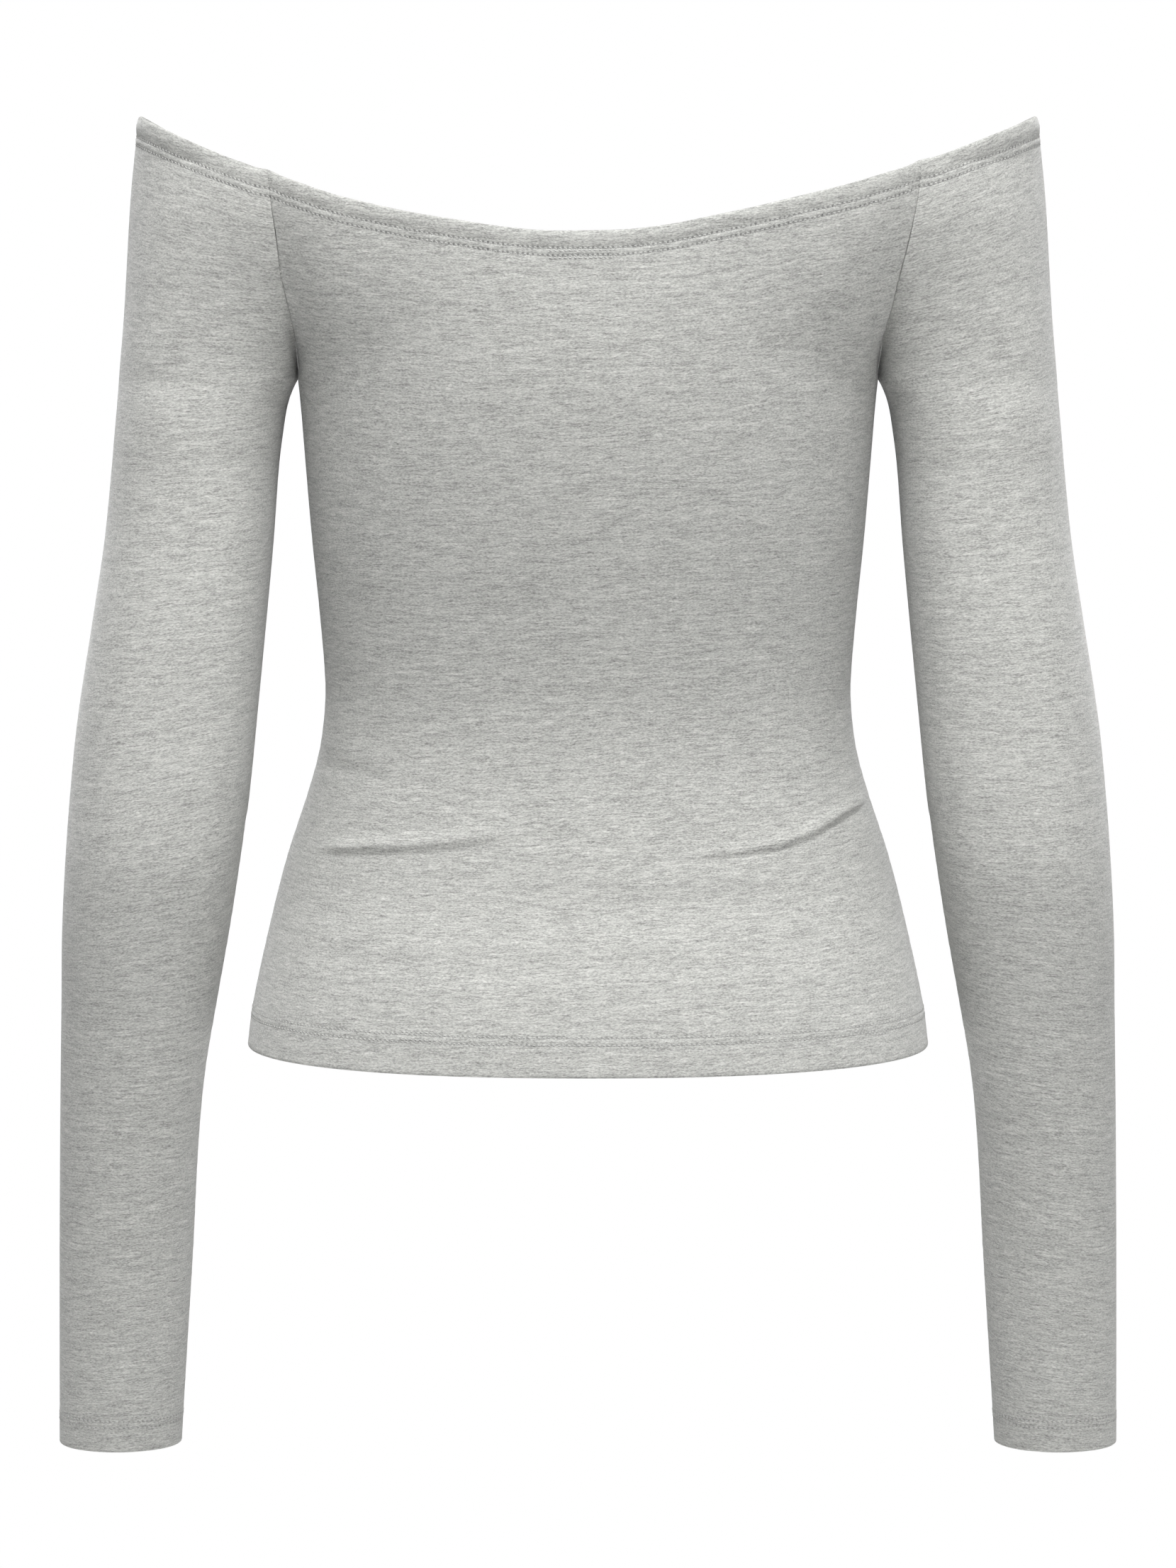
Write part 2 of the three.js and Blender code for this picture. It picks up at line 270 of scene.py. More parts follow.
def bell(distance: Array, fade: float) -> Array:
    """A soft hump: e to the power of minus the square of distance over fade."""
    return np.exp(-((distance / fade) ** 2))


def smooth_step(value: Array, high: float) -> Array:
    """A soft ramp from 0 at 0 to 1 at high, level beyond both."""
    s = np.clip(value / high, 0, 1)
    return s * s * (3 - 2 * s)


@dataclass(frozen=True)
class Crease:
    """A crease of the cloth: a lip that stands out over a trough, along a line across the torso.

    line gives points of the crease's shadow in degrees round the torso and heights; fade says over how many
    degrees it fades in at its start and out at its end.
    """

    line: tuple[tuple[float, float], ...]
    lip: float
    trough: float
    fade: tuple[float, float]
    rise: float = 2.0
    lip_above: float = 3.6
    lip_below: float = 2.1
    drop: float = 1.0
    trough_fade: float = 1.3

    def height(self, turn: Array, z: Array) -> Array:
        """The crease's height over the plain cloth.

        The lip is a hump just above the line that fades faster below its middle than above it, less a hump
        for the trough just under the line, and both fade in from each end.

        Args:
            turn: degrees round the torso.
            z: height on the torso.

        Returns:
            Millimetres outwards, in the shape of turn and z.
        """
        table = np.array(self.line)
        away = z - Curve(table, 1).at(turn)
        above = away - self.rise
        lip = self.lip * np.where(above >= 0, bell(above, self.lip_above), bell(above, self.lip_below))
        trough = self.trough * bell(away + self.drop, self.trough_fade)
        start, end = self.fade
        return smooth_step(turn - table[0, 0], start) * smooth_step(table[-1, 0] - turn, end) * (lip - trough)


LEFT_WAIST = (
    (-68, -279.5), (-56.6, -278.6), (-48.4, -277.3), (-36.4, -275.3),
    (-26.5, -273.4), (-17.5, -270.7), (-5, -264),
)
RIGHT_WAIST = (
    (8, -279.5), (14.8, -279.1), (24.8, -276.8), (34.9, -274.9),
    (45.2, -271.5), (60.1, -264.2), (76, -260.3), (85, -258),
)
WAIST_CREASES = (
    Crease(LEFT_WAIST, 1.95, 0.42, (18, 26)),
    Crease(RIGHT_WAIST, 1.7, 0.42, (34, 26)),
    Crease(((-2, -290), (20, -293), (44, -289)), 0.35, 0.25, (14, 18), 3.0, 8.0, 3.5, 2.5, 3.5),
    Crease(((-66, -318), (-20, -322), (34, -318)), 0.4, 0.35, (26, 26), 4.0, 9.0, 5.0, 4.0, 5.0),
    Crease(((-84, -236), (-60, -240), (-28, -246)), 0.5, 0.5, (14, 20), 3.5, 9.0, 4.0, 3.5, 5.0),
    Crease(((112, -268), (140, -264), (166, -252)), 2.0, 0.3, (18, 18)),
    Crease(((-166, -258), (-130, -258), (-98, -249)), 2.0, 0.3, (18, 18)),
    Crease(((-150, -286), (-124, -290), (-100, -284)), 0.5, 0.35, (14, 14), 3.0, 8.0, 3.5, 2.5, 3.5),
)

# Inside each elbow, in turns round the sleeve: middle, height, reach, lip, trough and tilt.
ELBOW_CREASES = (
    (0.8, -272.0, 0.22, 2.2, 2.0, 12.0),
    (0.72, -296.0, 0.18, 1.8, 1.6, 8.0),
)


@dataclass(frozen=True)
class Hem:
    """A turned hem: its outer needle row's way from the edge, its depth, and how tight it is sewn."""

    needle: float
    depth: float
    drawn: float


NECK_HEM = Hem(7.8, NECK_HEM_DEPTH, 0.6)
BODY_HEM = Hem(14.3, BODY_HEM_DEPTH, 0.32)
CUFF_HEM = Hem(12.4, CUFF_HEM_DEPTH, 0.32)


class Form:
    """A panel's outer face as a function of a column's place and a height, in millimetres."""

    first: float = 0.0
    last: float = 1.0
    step: float = 0.002
    sign: int = 1
    tube: bool = False
    foot: float = CUFF_Z
    foot_hem: Hem = CUFF_HEM
    seam_line: float = 0.24
    seam_line_fade: float = 0.6
    seam_dip: float = 0.35
    shoulder_dip: float = 0.8
    shoulder_dip_under: float = 20.0
    seam_dip_fade: float = 7.0

    def plain(self, column: Array, z: Array) -> Array:
        """The smooth face without creases, as points in a last axis of three."""
        raise NotImplementedError

    def rise(self, column: Array) -> Array:
        """How far the mesh's row at the underarm climbs at a column."""
        return np.zeros_like(column)

    def course(self, points: Array) -> Array:
        """The height that each point's course of the knit has in the panel's middle."""
        raise NotImplementedError

    def folds(self, column: Array, z: Array) -> Array:
        """Creases and drapes, as millimetres outwards."""
        raise NotImplementedError

    def fullness(self, column: Array, z: Array, seam: Array) -> Array:
        """Where the worn cloth stands fuller or flatter than the plain form, as millimetres outwards."""
        raise NotImplementedError

    def hand_face(self, column: Array) -> tuple[Array, Array]:
        """Whether each column is on the right hand, and whether it is on the back."""
        raise NotImplementedError

    def lift(self, column: Array, level: Array) -> Array:
        """The height of a row that has the given level at the panel's edges: courses climb towards the middle.

        The climb grows evenly from nothing at the foot to rise() in the underarm's row.
        """
        return level + self.rise(column) * (level - self.foot) / (ARMPIT_Z - self.foot)

    def width_at(self, edge: Array, inward: Array, z: Array) -> Array:
        """Millimetres for one whole column beside a seam edge, from a short way inward."""
        return np.linalg.norm(self.plain(edge + inward, z) - self.plain(edge, z), axis=-1) / SHORT_WAY

    def seam_distance(self, column: Array, z: Array) -> Array:
        """How far a point lies from the panel's nearest seam edge: its share of a column times the width.

        Args:
            column: the columns' places.
            z: the heights.

        Returns:
            Millimetres from the nearer seam.
        """
        near_first = column - self.first < self.last - column
        edge = np.where(near_first, self.first, self.last)
        inward = np.where(near_first, SHORT_WAY, -SHORT_WAY)
        return np.abs(column - edge) * self.width_at(edge, inward, z)

    def top(self, column: Array) -> Array:
        """The neck edge's height over each column.

        The height follows from the distance to the centre and that from the height, so eight passes settle
        both. Where a seam's turned-in ends lie inside the hem, the edge stands up a little.

        Args:
            column: the columns' places.

        Returns:
            The edge's heights.
        """
        right, back = self.hand_face(column)
        z = np.zeros_like(column)
        for _ in range(NECK_PASSES):
            x = np.abs(self.plain(column, z)[..., 0])
            across = np.minimum(x / NECK_CORNER_X, 1)
            neck = np.where(right, NECK[Hand.RIGHT].at(x), NECK[Hand.LEFT].at(x))
            z = neck - np.where(back, 0.0, FRONT_NECK_DIP) * (1 - across ** 2)
        return z + SEAM_HUMP * bell(self.seam_distance(column, z), SEAM_HUMP_FADE)

    def spread(self, column: Array) -> Array:
        """How much taller the neck hem stands: one, plus a part of the square of the way to the corner."""
        x = np.abs(self.plain(column, self.top(column))[..., 0])
        return 1 + NECK_SPREAD * np.minimum(x / NECK_CORNER_X, 1) ** 2

    def outward(self, column: Array, z: Array) -> Array:
        """Unit directions out of the face: the cross product of short steps along the course and up the wale.

        Args:
            column: the columns' places.
            z: the heights.

        Returns:
            The directions, in a last axis of three.
        """
        low = column - self.step
        high = column + self.step
        below = z <= ARMPIT_Z
        closed = below & self.tube
        low = np.where(closed, low, np.maximum(low, self.first))
        high = np.where(closed, high, np.minimum(high, self.last))
        along = self.plain(high, z) - self.plain(low, z)
        upper = np.where(below, np.minimum(z + 1, ARMPIT_Z), z + 1)
        lower = np.where(below, z - 1, np.maximum(z - 1, ARMPIT_Z + 0.01))
        up = self.plain(column, upper) - self.plain(column, lower)
        out = np.cross(along, up) * self.sign
        return out / np.maximum(np.linalg.norm(out, axis=-1, keepdims=True), 1e-9)

    def relief(self, column: Array, z: Array) -> Array:
        """All that moves the cloth in or out of its smooth face.

        The folds and the fullness, less a narrow valley along each seam and a shallow broad one above the
        underarm, plus small puckers across the seam, as three sines of the height, plus a hump where a seam
        passes through the neck hem and the roll of that hem's edge, plus the two needle rows of each hem,
        drawn in, with the cloth puffed up between them. Valleys and puckers fade out at the underarm, where
        the panels face each other and would part.

        Args:
            column: the columns' places.
            z: the heights.

        Returns:
            Millimetres outwards.
        """
        top = self.top(column)
        under = (top - z) / self.spread(column)
        foot = self.lift(column, np.full_like(column, self.foot))
        seam = self.seam_distance(column, z)
        above = z - ARMPIT_Z
        armhole = smooth_step(above, 24.0)
        level = np.where(above > 0, smooth_step(above - 22.0, 40.0), smooth_step(-above, 12.0))
        dip = (self.seam_dip + self.shoulder_dip * bell(under - self.shoulder_dip_under, 16.0)) * armhole
        valley = self.seam_line * bell(seam, self.seam_line_fade) + dip * bell(seam, self.seam_dip_fade)
        ripple = np.sin(z * 0.83 + 0.4) + 0.8 * np.sin(z * 1.31 + seam * 0.05) + 0.6 * np.sin(z * 0.47 + 2.0)
        pucker = PUCKER * ripple * bell(seam - 3.0, 5.0) * (0.35 + 0.65 * armhole)
        neck_hump = SEAM_HUMP * bell(seam, SEAM_HUMP_FADE) * bell(under, 13.0)
        out = self.folds(column, z) + self.fullness(column, z, seam) + level * (pucker - valley) + neck_hump
        out = out + EDGE_ROLL * bell(under - 3.6, 2.8)
        for gap, hem in ((under, NECK_HEM), (z - foot, self.foot_hem)):
            past = gap - hem.needle
            rows = bell(past, ROW_WIDTH) + bell(past - NEEDLE_GAUGE, ROW_WIDTH)
            out = out + hem.drawn * ROW_PULL * (bell(past - NEEDLE_GAUGE / 2, 1.0) - rows)
            out = out + HEM_STEP * smooth_step(hem.depth + 2.5 - gap, 5.0)
        return out

    def cloth(self, column: Array, z: Array, out: Array | float = 0.0) -> Array:
        """Points of the worked cloth: the smooth face, moved outwards by its relief and by out."""
        move = self.relief(column, z) + out
        return self.plain(column, z) + self.outward(column, z) * move[..., None]


class TorsoForm(Form):
    """The back or the front: columns run from -1 at the left seam to 1 at the right one."""

    first = -1.0
    foot = HEM_Z
    foot_hem = BODY_HEM
    neck_sag: float = 0.0005
    neck_sag_reach: float = 150.0
    shoulder: float = 2.2
    shoulder_from_seam: float = 26.0
    shoulder_fade: float = 17.0

    def __init__(self, face: Face) -> None:
        """Keeps the face that the panel is on."""
        self.face = face
        self.sign = -face.value

    def hand_face(self, column: Array) -> tuple[Array, Array]:
        """Right from the centre on, and all on one face."""
        return column >= 0, np.full(column.shape, self.face is Face.BACK)

    def plain(self, column: Array, z: Array) -> Array:
        """A squarish ellipse at each height, cut off where the armhole seam crosses it.

        x is the half width times the sine, and y the depth times the cosine, of the column's share of the
        edge angle, both to the power 2 / 2.3. Above the underarm the edge angle is where y meets the seam's
        own depth.

        Args:
            column: the columns' places.
            z: the heights.

        Returns:
            The points, in a last axis of three.
        """
        power = 2 / TORSO_SQUARENESS
        right = column >= 0
        opened = z > ARMPIT_Z
        seam = np.where(right, SEAM[Hand.RIGHT].at(z), SEAM[Hand.LEFT].at(z))
        reach = np.where(opened, ARM_DEPTH[self.face].at(z) * np.sin(np.radians(SEAM_TURN.at(z))), 0.0)
        depth = TORSO_DEPTH[self.face].at(z)
        edge = np.arccos(np.clip(reach / depth, 0, 1) ** (1 / power))
        half = np.where(opened, seam / np.sin(edge) ** power, TORSO_HALF.at(z))
        share = np.abs(column)
        angle = share * edge
        x = half * np.sin(angle) ** power - SEAM_GAP / 2 * share
        y = depth * np.maximum(np.cos(angle), 0) ** power + SEAM_GAP / 2
        return np.stack([np.where(right, x, -x), self.face.value * y, z + 0 * x], axis=-1)

    def course(self, points: Array) -> Array:
        """Courses lean up to the right by a few hundredths, and near the neck they sag to the middle.

        The height less the lean times x, less the sag times x squared, which fades out below the neck.

        Args:
            points: places on the panel.

        Returns:
            Each course's height in the middle.
        """
        x, z = points[..., 0], points[..., 2]
        sag = self.neck_sag * smooth_step(z + self.neck_sag_reach, self.neck_sag_reach)
        return z - TORSO_LEAN * x - sag * x ** 2

    def folds(self, column: Array, z: Array) -> Array:
        """The waist creases, by degrees round the torso from the centre back towards the right side.

        Args:
            column: the columns' places.
            z: the heights.

        Returns:
            Millimetres outwards.
        """
        quarter = 90 * column
        turn = quarter if self.face is Face.BACK else np.where(column >= 0, 180.0, -180.0) - quarter
        return sum(crease.height(turn, z) for crease in WAIST_CREASES)

    def fullness(self, column: Array, z: Array, seam: Array) -> Array:
        """A hollow below the waist, hips that widen to the hem, and shoulders that stay broad at the armholes.

        The swell's table times one minus the square of the column, so that it is nothing at the side seams,
        plus a hump at 26 mm from the armhole seam that fades out below the underarm.

        Args:
            column: the columns' places.
            z: the heights.
            seam: millimetres from the nearer seam.

        Returns:
            Millimetres outwards.
        """
        hump = self.shoulder * bell(seam - self.shoulder_from_seam, self.shoulder_fade)
        hump = hump * smooth_step(z + 92.0, 60.0) * smooth_step(seam, SEAM_EASE)
        return (1 - column ** 2) * TORSO_SWELL.at(z) + hump


class SleeveForm(Form):
    """A sleeve: columns run from the back seam, 0, round the outer edge, 0.5, to the front seam, 1."""

    tube = True
    lip_above: float = 9.0
    lip_below: float = 2.8
    trough_drop: float = 7.0
    trough_fade: float = 4.4
    inner_square: float = 3.4
    outer_square: float = 2.0

    def __init__(self, hand: Hand) -> None:
        """Keeps the hand that the sleeve is on."""
        self.hand = hand
        self.sign = hand.value

    def hand_face(self, column: Array) -> tuple[Array, Array]:
        """All on one hand, and the back half first."""
        return np.full(column.shape, self.hand is Hand.RIGHT), column <= 0.5

    def rise(self, column: Array) -> Array:
        """Courses climb to the outer edge, as the sine of half a turn."""
        return SLEEVE_COURSE_RISE * np.sin(math.pi * column)

    def course(self, points: Array) -> Array:
        """Courses lie in tilted rings: the height less the slope there times the way across from the middle.

        Args:
            points: places on the sleeve.

        Returns:
            Each course's height in the middle.
        """
        x, z = points[..., 0], points[..., 2]
        opened = z > ARMPIT_Z
        inner = np.where(opened, SEAM[self.hand].at(z), SLEEVE_INNER.at(z))
        middle = self.hand.value * (inner + SLEEVE_OUTER.at(z)) / 2
        slant = np.radians(COURSE_SLANT[self.hand].at(z))
        return z - np.tan(slant) * (x - middle)

    def plain(self, column: Array, z: Array) -> Array:
        """An ellipse at each height, whole below the underarm and cut open at the armhole seams above it.

        x is the outer edge less the half width times one plus the cosine, and y the half depth times the
        sine, of an angle that runs evenly from the seam's turn to half a turn at the outer edge.

        Args:
            column: the columns' places.
            z: the heights.

        Returns:
            The points, in a last axis of three.
        """
        opened = z > ARMPIT_Z
        turn = np.where(opened, column, column % 1.0)
        turn = np.where((column == 1.0) & ~opened, 1.0, turn)
        back = turn <= 0.5
        share = np.where(back, 2 * turn, 2 * (1 - turn))
        start = np.where(opened, np.radians(SEAM_TURN.at(z)), 0.0)
        arm = np.where(back, ARM_DEPTH[Face.BACK].at(z), ARM_DEPTH[Face.FRONT].at(z))
        depth = np.where(opened, arm, SLEEVE_DEPTH.at(z))
        inner = np.where(opened, SEAM[self.hand].at(z), SLEEVE_INNER.at(z)) + SEAM_GAP / 2
        outer = SLEEVE_OUTER.at(z)
        half = (outer - inner) / (1 + np.cos(start))
        angle = start + (math.pi - start) * share
        x = outer - half * (1 + np.cos(angle))
        y = np.where(back, -1.0, 1.0) * depth * np.sin(angle) + SLEEVE_MIDDLE.at(z)
        return np.stack([self.hand.value * x, y, z + 0 * x], axis=-1)

    def folds(self, column: Array, z: Array) -> Array:
        """The creases inside the elbow: a lip over a trough along a tilted line, fading both ways round.

        Args:
            column: the columns' places.
            z: the heights.

        Returns:
            Millimetres outwards.
        """
        out = np.zeros(np.broadcast(column, z).shape)
        for turn, height, reach, lip, trough, tilt in ELBOW_CREASES:
            away = column - turn - np.round(column - turn)
            above = z - height - tilt * away / reach
            hump = lip * np.where(above >= 0, bell(above, self.lip_above), bell(above, self.lip_below))
            valley = trough * bell(above + self.trough_drop, self.trough_fade)
            out = out + bell(away, reach / 2) * (hump - valley)
        return out

    def fullness(self, column: Array, z: Array, seam: Array) -> Array:
        """A squarer arm: the square of the sine of twice the turn, more on the inner side than the outer one.

        It fades to nothing at an open seam, on the outer side at the elbow, and on the inner side down the
        forearm.

        Args:
            column: the columns' places.
            z: the heights.
            seam: millimetres from the nearer seam.

        Returns:
            Millimetres outwards.
        """
        share = np.where(column <= 0.5, 2 * column, 2 * (1 - column))
        start = np.where(z > ARMPIT_Z, np.radians(SEAM_TURN.at(z)), 0.0)
        angle = start + (math.pi - start) * share
        near = np.where(z > ARMPIT_Z, smooth_step(seam, SEAM_EASE), 1.0)
        inner = self.inner_square * smooth_step(z + 440.0, 170.0)
        outer = self.outer_square * smooth_step(z + 300.0, 120.0)
        return np.where(angle < math.pi / 2, inner, outer) * np.sin(2 * angle) ** 2 * near


def lengths_along(points: Array) -> Array:
    """The running length at each point of a path, or of many paths side by side, from the first point on."""
    steps = np.linalg.norm(np.diff(points, axis=0), axis=-1)
    return np.concatenate([np.zeros((1, *steps.shape[1:])), np.cumsum(steps, axis=0)])


def ring_quads(rings: int, count: int) -> Array:
    """Joins each ring of points to the next one with quads, wound along the first of the two.

    Args:
        rings: how many rings follow one another.
        count: how many points each ring has.

    Returns:
        The corner numbers, one row a quad.
    """
    ring = np.arange(rings - 1)[:, None] * count
    point = np.arange(count)[None, :]
    after = (point + 1) % count
    corners = [ring + point, ring + after, ring + count + after, ring + count + point]
    return np.stack(corners, axis=-1).reshape(-1, 4)


def runs(start: float, *stretches: tuple[float, int]) -> Array:
    """Levels from start through each stretch's end, in even steps.

    Args:
        start: the first level.
        stretches: each stretch's last level and its number of steps.

    Returns:
        The levels after start, in order.
    """
    levels: list[Array] = []
    for end, steps in stretches:
        levels.append(np.linspace(start, end, steps + 1)[1:])
        start = end
    return np.concatenate(levels)


def mesh_piece(name: str, points: Array, faces: list[Array], maps: dict[str, Array] | None = None,
               weld: Array | None = None) -> Any:
    """Makes a smooth-shaded mesh object at the origin, from whole arrays.

    Args:
        name: the piece's name.
        points: corner points in millimetres, one row each.
        faces: arrays of corner numbers, one row a face; each array's faces have equally many corners.
        maps: UV maps by name, with one pair of values for each corner point.
        weld: the corner that stands for each corner, where several are one point.

    Returns:
        The new object.
    """
    corners = np.concatenate([each.ravel() for each in faces])
    vertex = corners if weld is None else weld[corners]
    used, vertex = np.unique(vertex, return_inverse=True)
    counts = np.concatenate([np.full(len(each), each.shape[1]) for each in faces])
    mesh = bpy.data.meshes.new(name)
    mesh.vertices.add(len(used))
    mesh.vertices.foreach_set("co", (points[used] * MM).astype(np.float32).ravel())
    mesh.loops.add(len(corners))
    mesh.loops.foreach_set("vertex_index", vertex.astype(np.int32).ravel())
    mesh.polygons.add(len(counts))
    mesh.polygons.foreach_set("loop_start", (np.cumsum(counts) - counts).astype(np.int32))
    for label, values in (maps or {}).items():
        layer = mesh.uv_layers.new(name=label)
        layer.data.foreach_set("uv", values[corners].astype(np.float32).ravel())
    mesh.update(calc_edges=True)
    mesh.polygons.foreach_set("use_smooth", np.ones(len(counts), dtype=bool))
    mesh.validate()
    piece = bpy.data.objects.new(name, mesh)
    bpy.context.scene.collection.objects.link(piece)
    return piece


RIM_TURNS = np.radians([0.0, 30.0, 60.0, 90.0])
RIM_LEVELS = FOLD_RADIUS * (1 - np.cos(RIM_TURNS))
CLOSE_COLUMNS = np.array([0.17, 0.4, 0.68])


@dataclass
class Panel:
    """A panel of cloth: a closed thin wall on its form, turned in and doubled at its hems."""

    name: str
    node: str
    form: Form
    columns: int
    flat: tuple[float, float]
    area: float
    body_rows: tuple[tuple[float, int], ...]
    upper_rows: int = 50
    neck_band: float = 15.4

    def grid(self) -> tuple[Array, Array, int, Array]:
        """Lays out the wall's columns and rows.

        Rows stand at levels above the foot up to the underarm, then at even shares of the way to the neck
        hem, then at distances under the neck edge.

        Returns:
            The columns and the heights as (column, row) arrays, the row at the underarm, and the offsets of
            the outer and the inner face for each row as a (2, row) array.
        """
        form = self.form
        hem = form.foot_hem
        foot_end = [hem.depth, hem.depth + PAST_HEM]
        foot_gaps = np.concatenate([RIM_LEVELS, FOOT_BAND_ROWS, hem.needle + NEEDLE_ROWS, foot_end])
        neck_end = [NECK_HEM.depth + PAST_HEM]
        neck_gaps = np.concatenate([RIM_LEVELS, NECK_BAND_ROWS, NECK_HEM.needle + NEEDLE_ROWS, neck_end])[::-1]
        below = np.concatenate([form.foot + foot_gaps, runs(form.foot + foot_gaps[-1], *self.body_rows)])
        even = np.linspace(0, 1, self.columns + 1)
        close = CLOSE_COLUMNS / self.columns
        even = np.sort(np.concatenate([even, close, 1 - close]))
        column = (form.first + (form.last - form.first) * even)[:, None]
        low = form.lift(column, below[None, :])
        underarm = form.lift(column, np.full_like(column, ARMPIT_Z))
        top = form.top(column)
        spread = form.spread(column)
        shares = np.linspace(0, 1, self.upper_rows + 1)[None, 1:]
        upper = underarm + (top - self.neck_band * spread - underarm) * shares
        z = np.concatenate([low, upper, top - neck_gaps[None, :] * spread], axis=1)
        rows = z.shape[1]
        outer = np.zeros(rows)
        inner = np.full(rows, -CLOTH)
        foot_turned = len(foot_gaps) - 1
        neck_turned = len(neck_gaps) - 1
        inner[:foot_turned] = -2 * FOLD_RADIUS
        inner[rows - neck_turned:] = -2 * FOLD_RADIUS
        rim = len(RIM_TURNS)
        outer[:rim] = -FOLD_RADIUS * (1 - np.sin(RIM_TURNS))
        inner[:rim] = -FOLD_RADIUS * (1 + np.sin(RIM_TURNS))
        outer[-rim:] = outer[:rim][::-1]
        inner[-rim:] = inner[:rim][::-1]
        return np.broadcast_to(column, z.shape), z, low.shape[1] - 1, np.stack([outer, inner])

    def maps(self, column: Array, z: Array) -> dict[str, Array]:
        """The cloth's flat place and the hems' sewing place of each grid point, in metres.

        Flat place: the length along the mesh's row from the panel's middle, and the course's height measured
        up the middle column. Sewing place: the length along the nearest hem, and the distance past its outer
        needle row. The third map holds how tight that hem is sewn.

        Args:
            column: the grid's columns.
            z: the grid's heights.

        Returns:
            The maps by name, each as (column, row, 2).
        """
        form = self.form
        points = form.plain(column, z)
        along = lengths_along(points)
        middle = len(column) // 2
        course = form.course(points)
        ladder = z[middle]
        up = lengths_along(points[middle])
        height = np.interp(course, ladder, up) + course - np.clip(course, ladder[0], ladder[-1])
        cloth = np.stack([along - along[middle], height], axis=-1) * MM
        from_foot = z - z[:, :1]
        from_top = (z[:, -1:] - z) / form.spread(column)
        near_foot = from_foot < from_top
        foot_row = int(np.argmin(np.abs(from_foot[middle] - form.foot_hem.needle)))
        top_row = int(np.argmin(np.abs(from_top[middle] - NECK_HEM.needle)))
        length = np.where(near_foot, along[:, foot_row:foot_row + 1], along[:, top_row:top_row + 1])
        past = np.where(near_foot, from_foot - form.foot_hem.needle, from_top - NECK_HEM.needle)
        drawn = np.where(near_foot, form.foot_hem.drawn, NECK_HEM.drawn)
        sewing = np.stack([length, past], axis=-1) * MM
        return {"cloth": cloth, "sewing": sewing, "drawn": np.stack([drawn, drawn], axis=-1)}

    def build(self) -> Any:
        """Makes the panel's closed wall.

        Each column is one closed line: up the outer face, over the neck fold, down the inner face and round
        the foot's fold. Neighbouring columns are joined by quads, the seam edges are closed between their two
        faces, and a sleeve's first and last columns are one up to the underarm.

        Returns:
            The panel's object, riding on the body and standing for its CAD node.
        """
        column, z, underarm, offsets = self.grid()
        base = self.form.plain(column, z)
        out = self.form.outward(column, z)
        relief = self.form.relief(column, z)
        rows = z.shape[1]
        loop = 2 * rows - 2
        row_of = np.concatenate([np.arange(rows), np.arange(rows - 2, 0, -1)])
        layer_of = np.concatenate([np.zeros(rows, int), np.ones(rows - 2, int)])
        move = relief[:, row_of] + offsets[layer_of, row_of][None, :]
        points = base[:, row_of] + out[:, row_of] * move[..., None]
        maps = {name: values[:, row_of].reshape(-1, 2) for name, values in self.maps(column, z).items()}
        last = len(points) - 1
        wall = ring_quads(len(points), loop)[:, [0, 3, 2, 1]]
        first_row = underarm if self.form.tube else 0
        j = np.arange(max(first_row, 1), rows - 2)
        cap = np.stack([j, j + 1, loop - j - 1, loop - j], axis=-1)
        tips = [np.array([[rows - 2, rows - 1, loop - rows + 2]])]
        if first_row == 0:
            tips.append(np.array([[0, 1, loop - 1]]))
        tips = np.concatenate(tips)
        end = last * loop
        faces = [wall, cap, end + cap[:, ::-1], tips, end + tips[:, ::-1]]
        if self.form.sign < 0:
            faces = [each[:, ::-1] for each in faces]
        weld = np.arange(points.shape[0] * loop)
        if self.form.tube:
            shared = np.flatnonzero(row_of <= underarm)
            weld[end + shared] = shared
        piece = mesh_piece(self.name, points.reshape(-1, 3), faces, maps, weld)
        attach(piece, "root")
        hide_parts(self.node)
        return piece


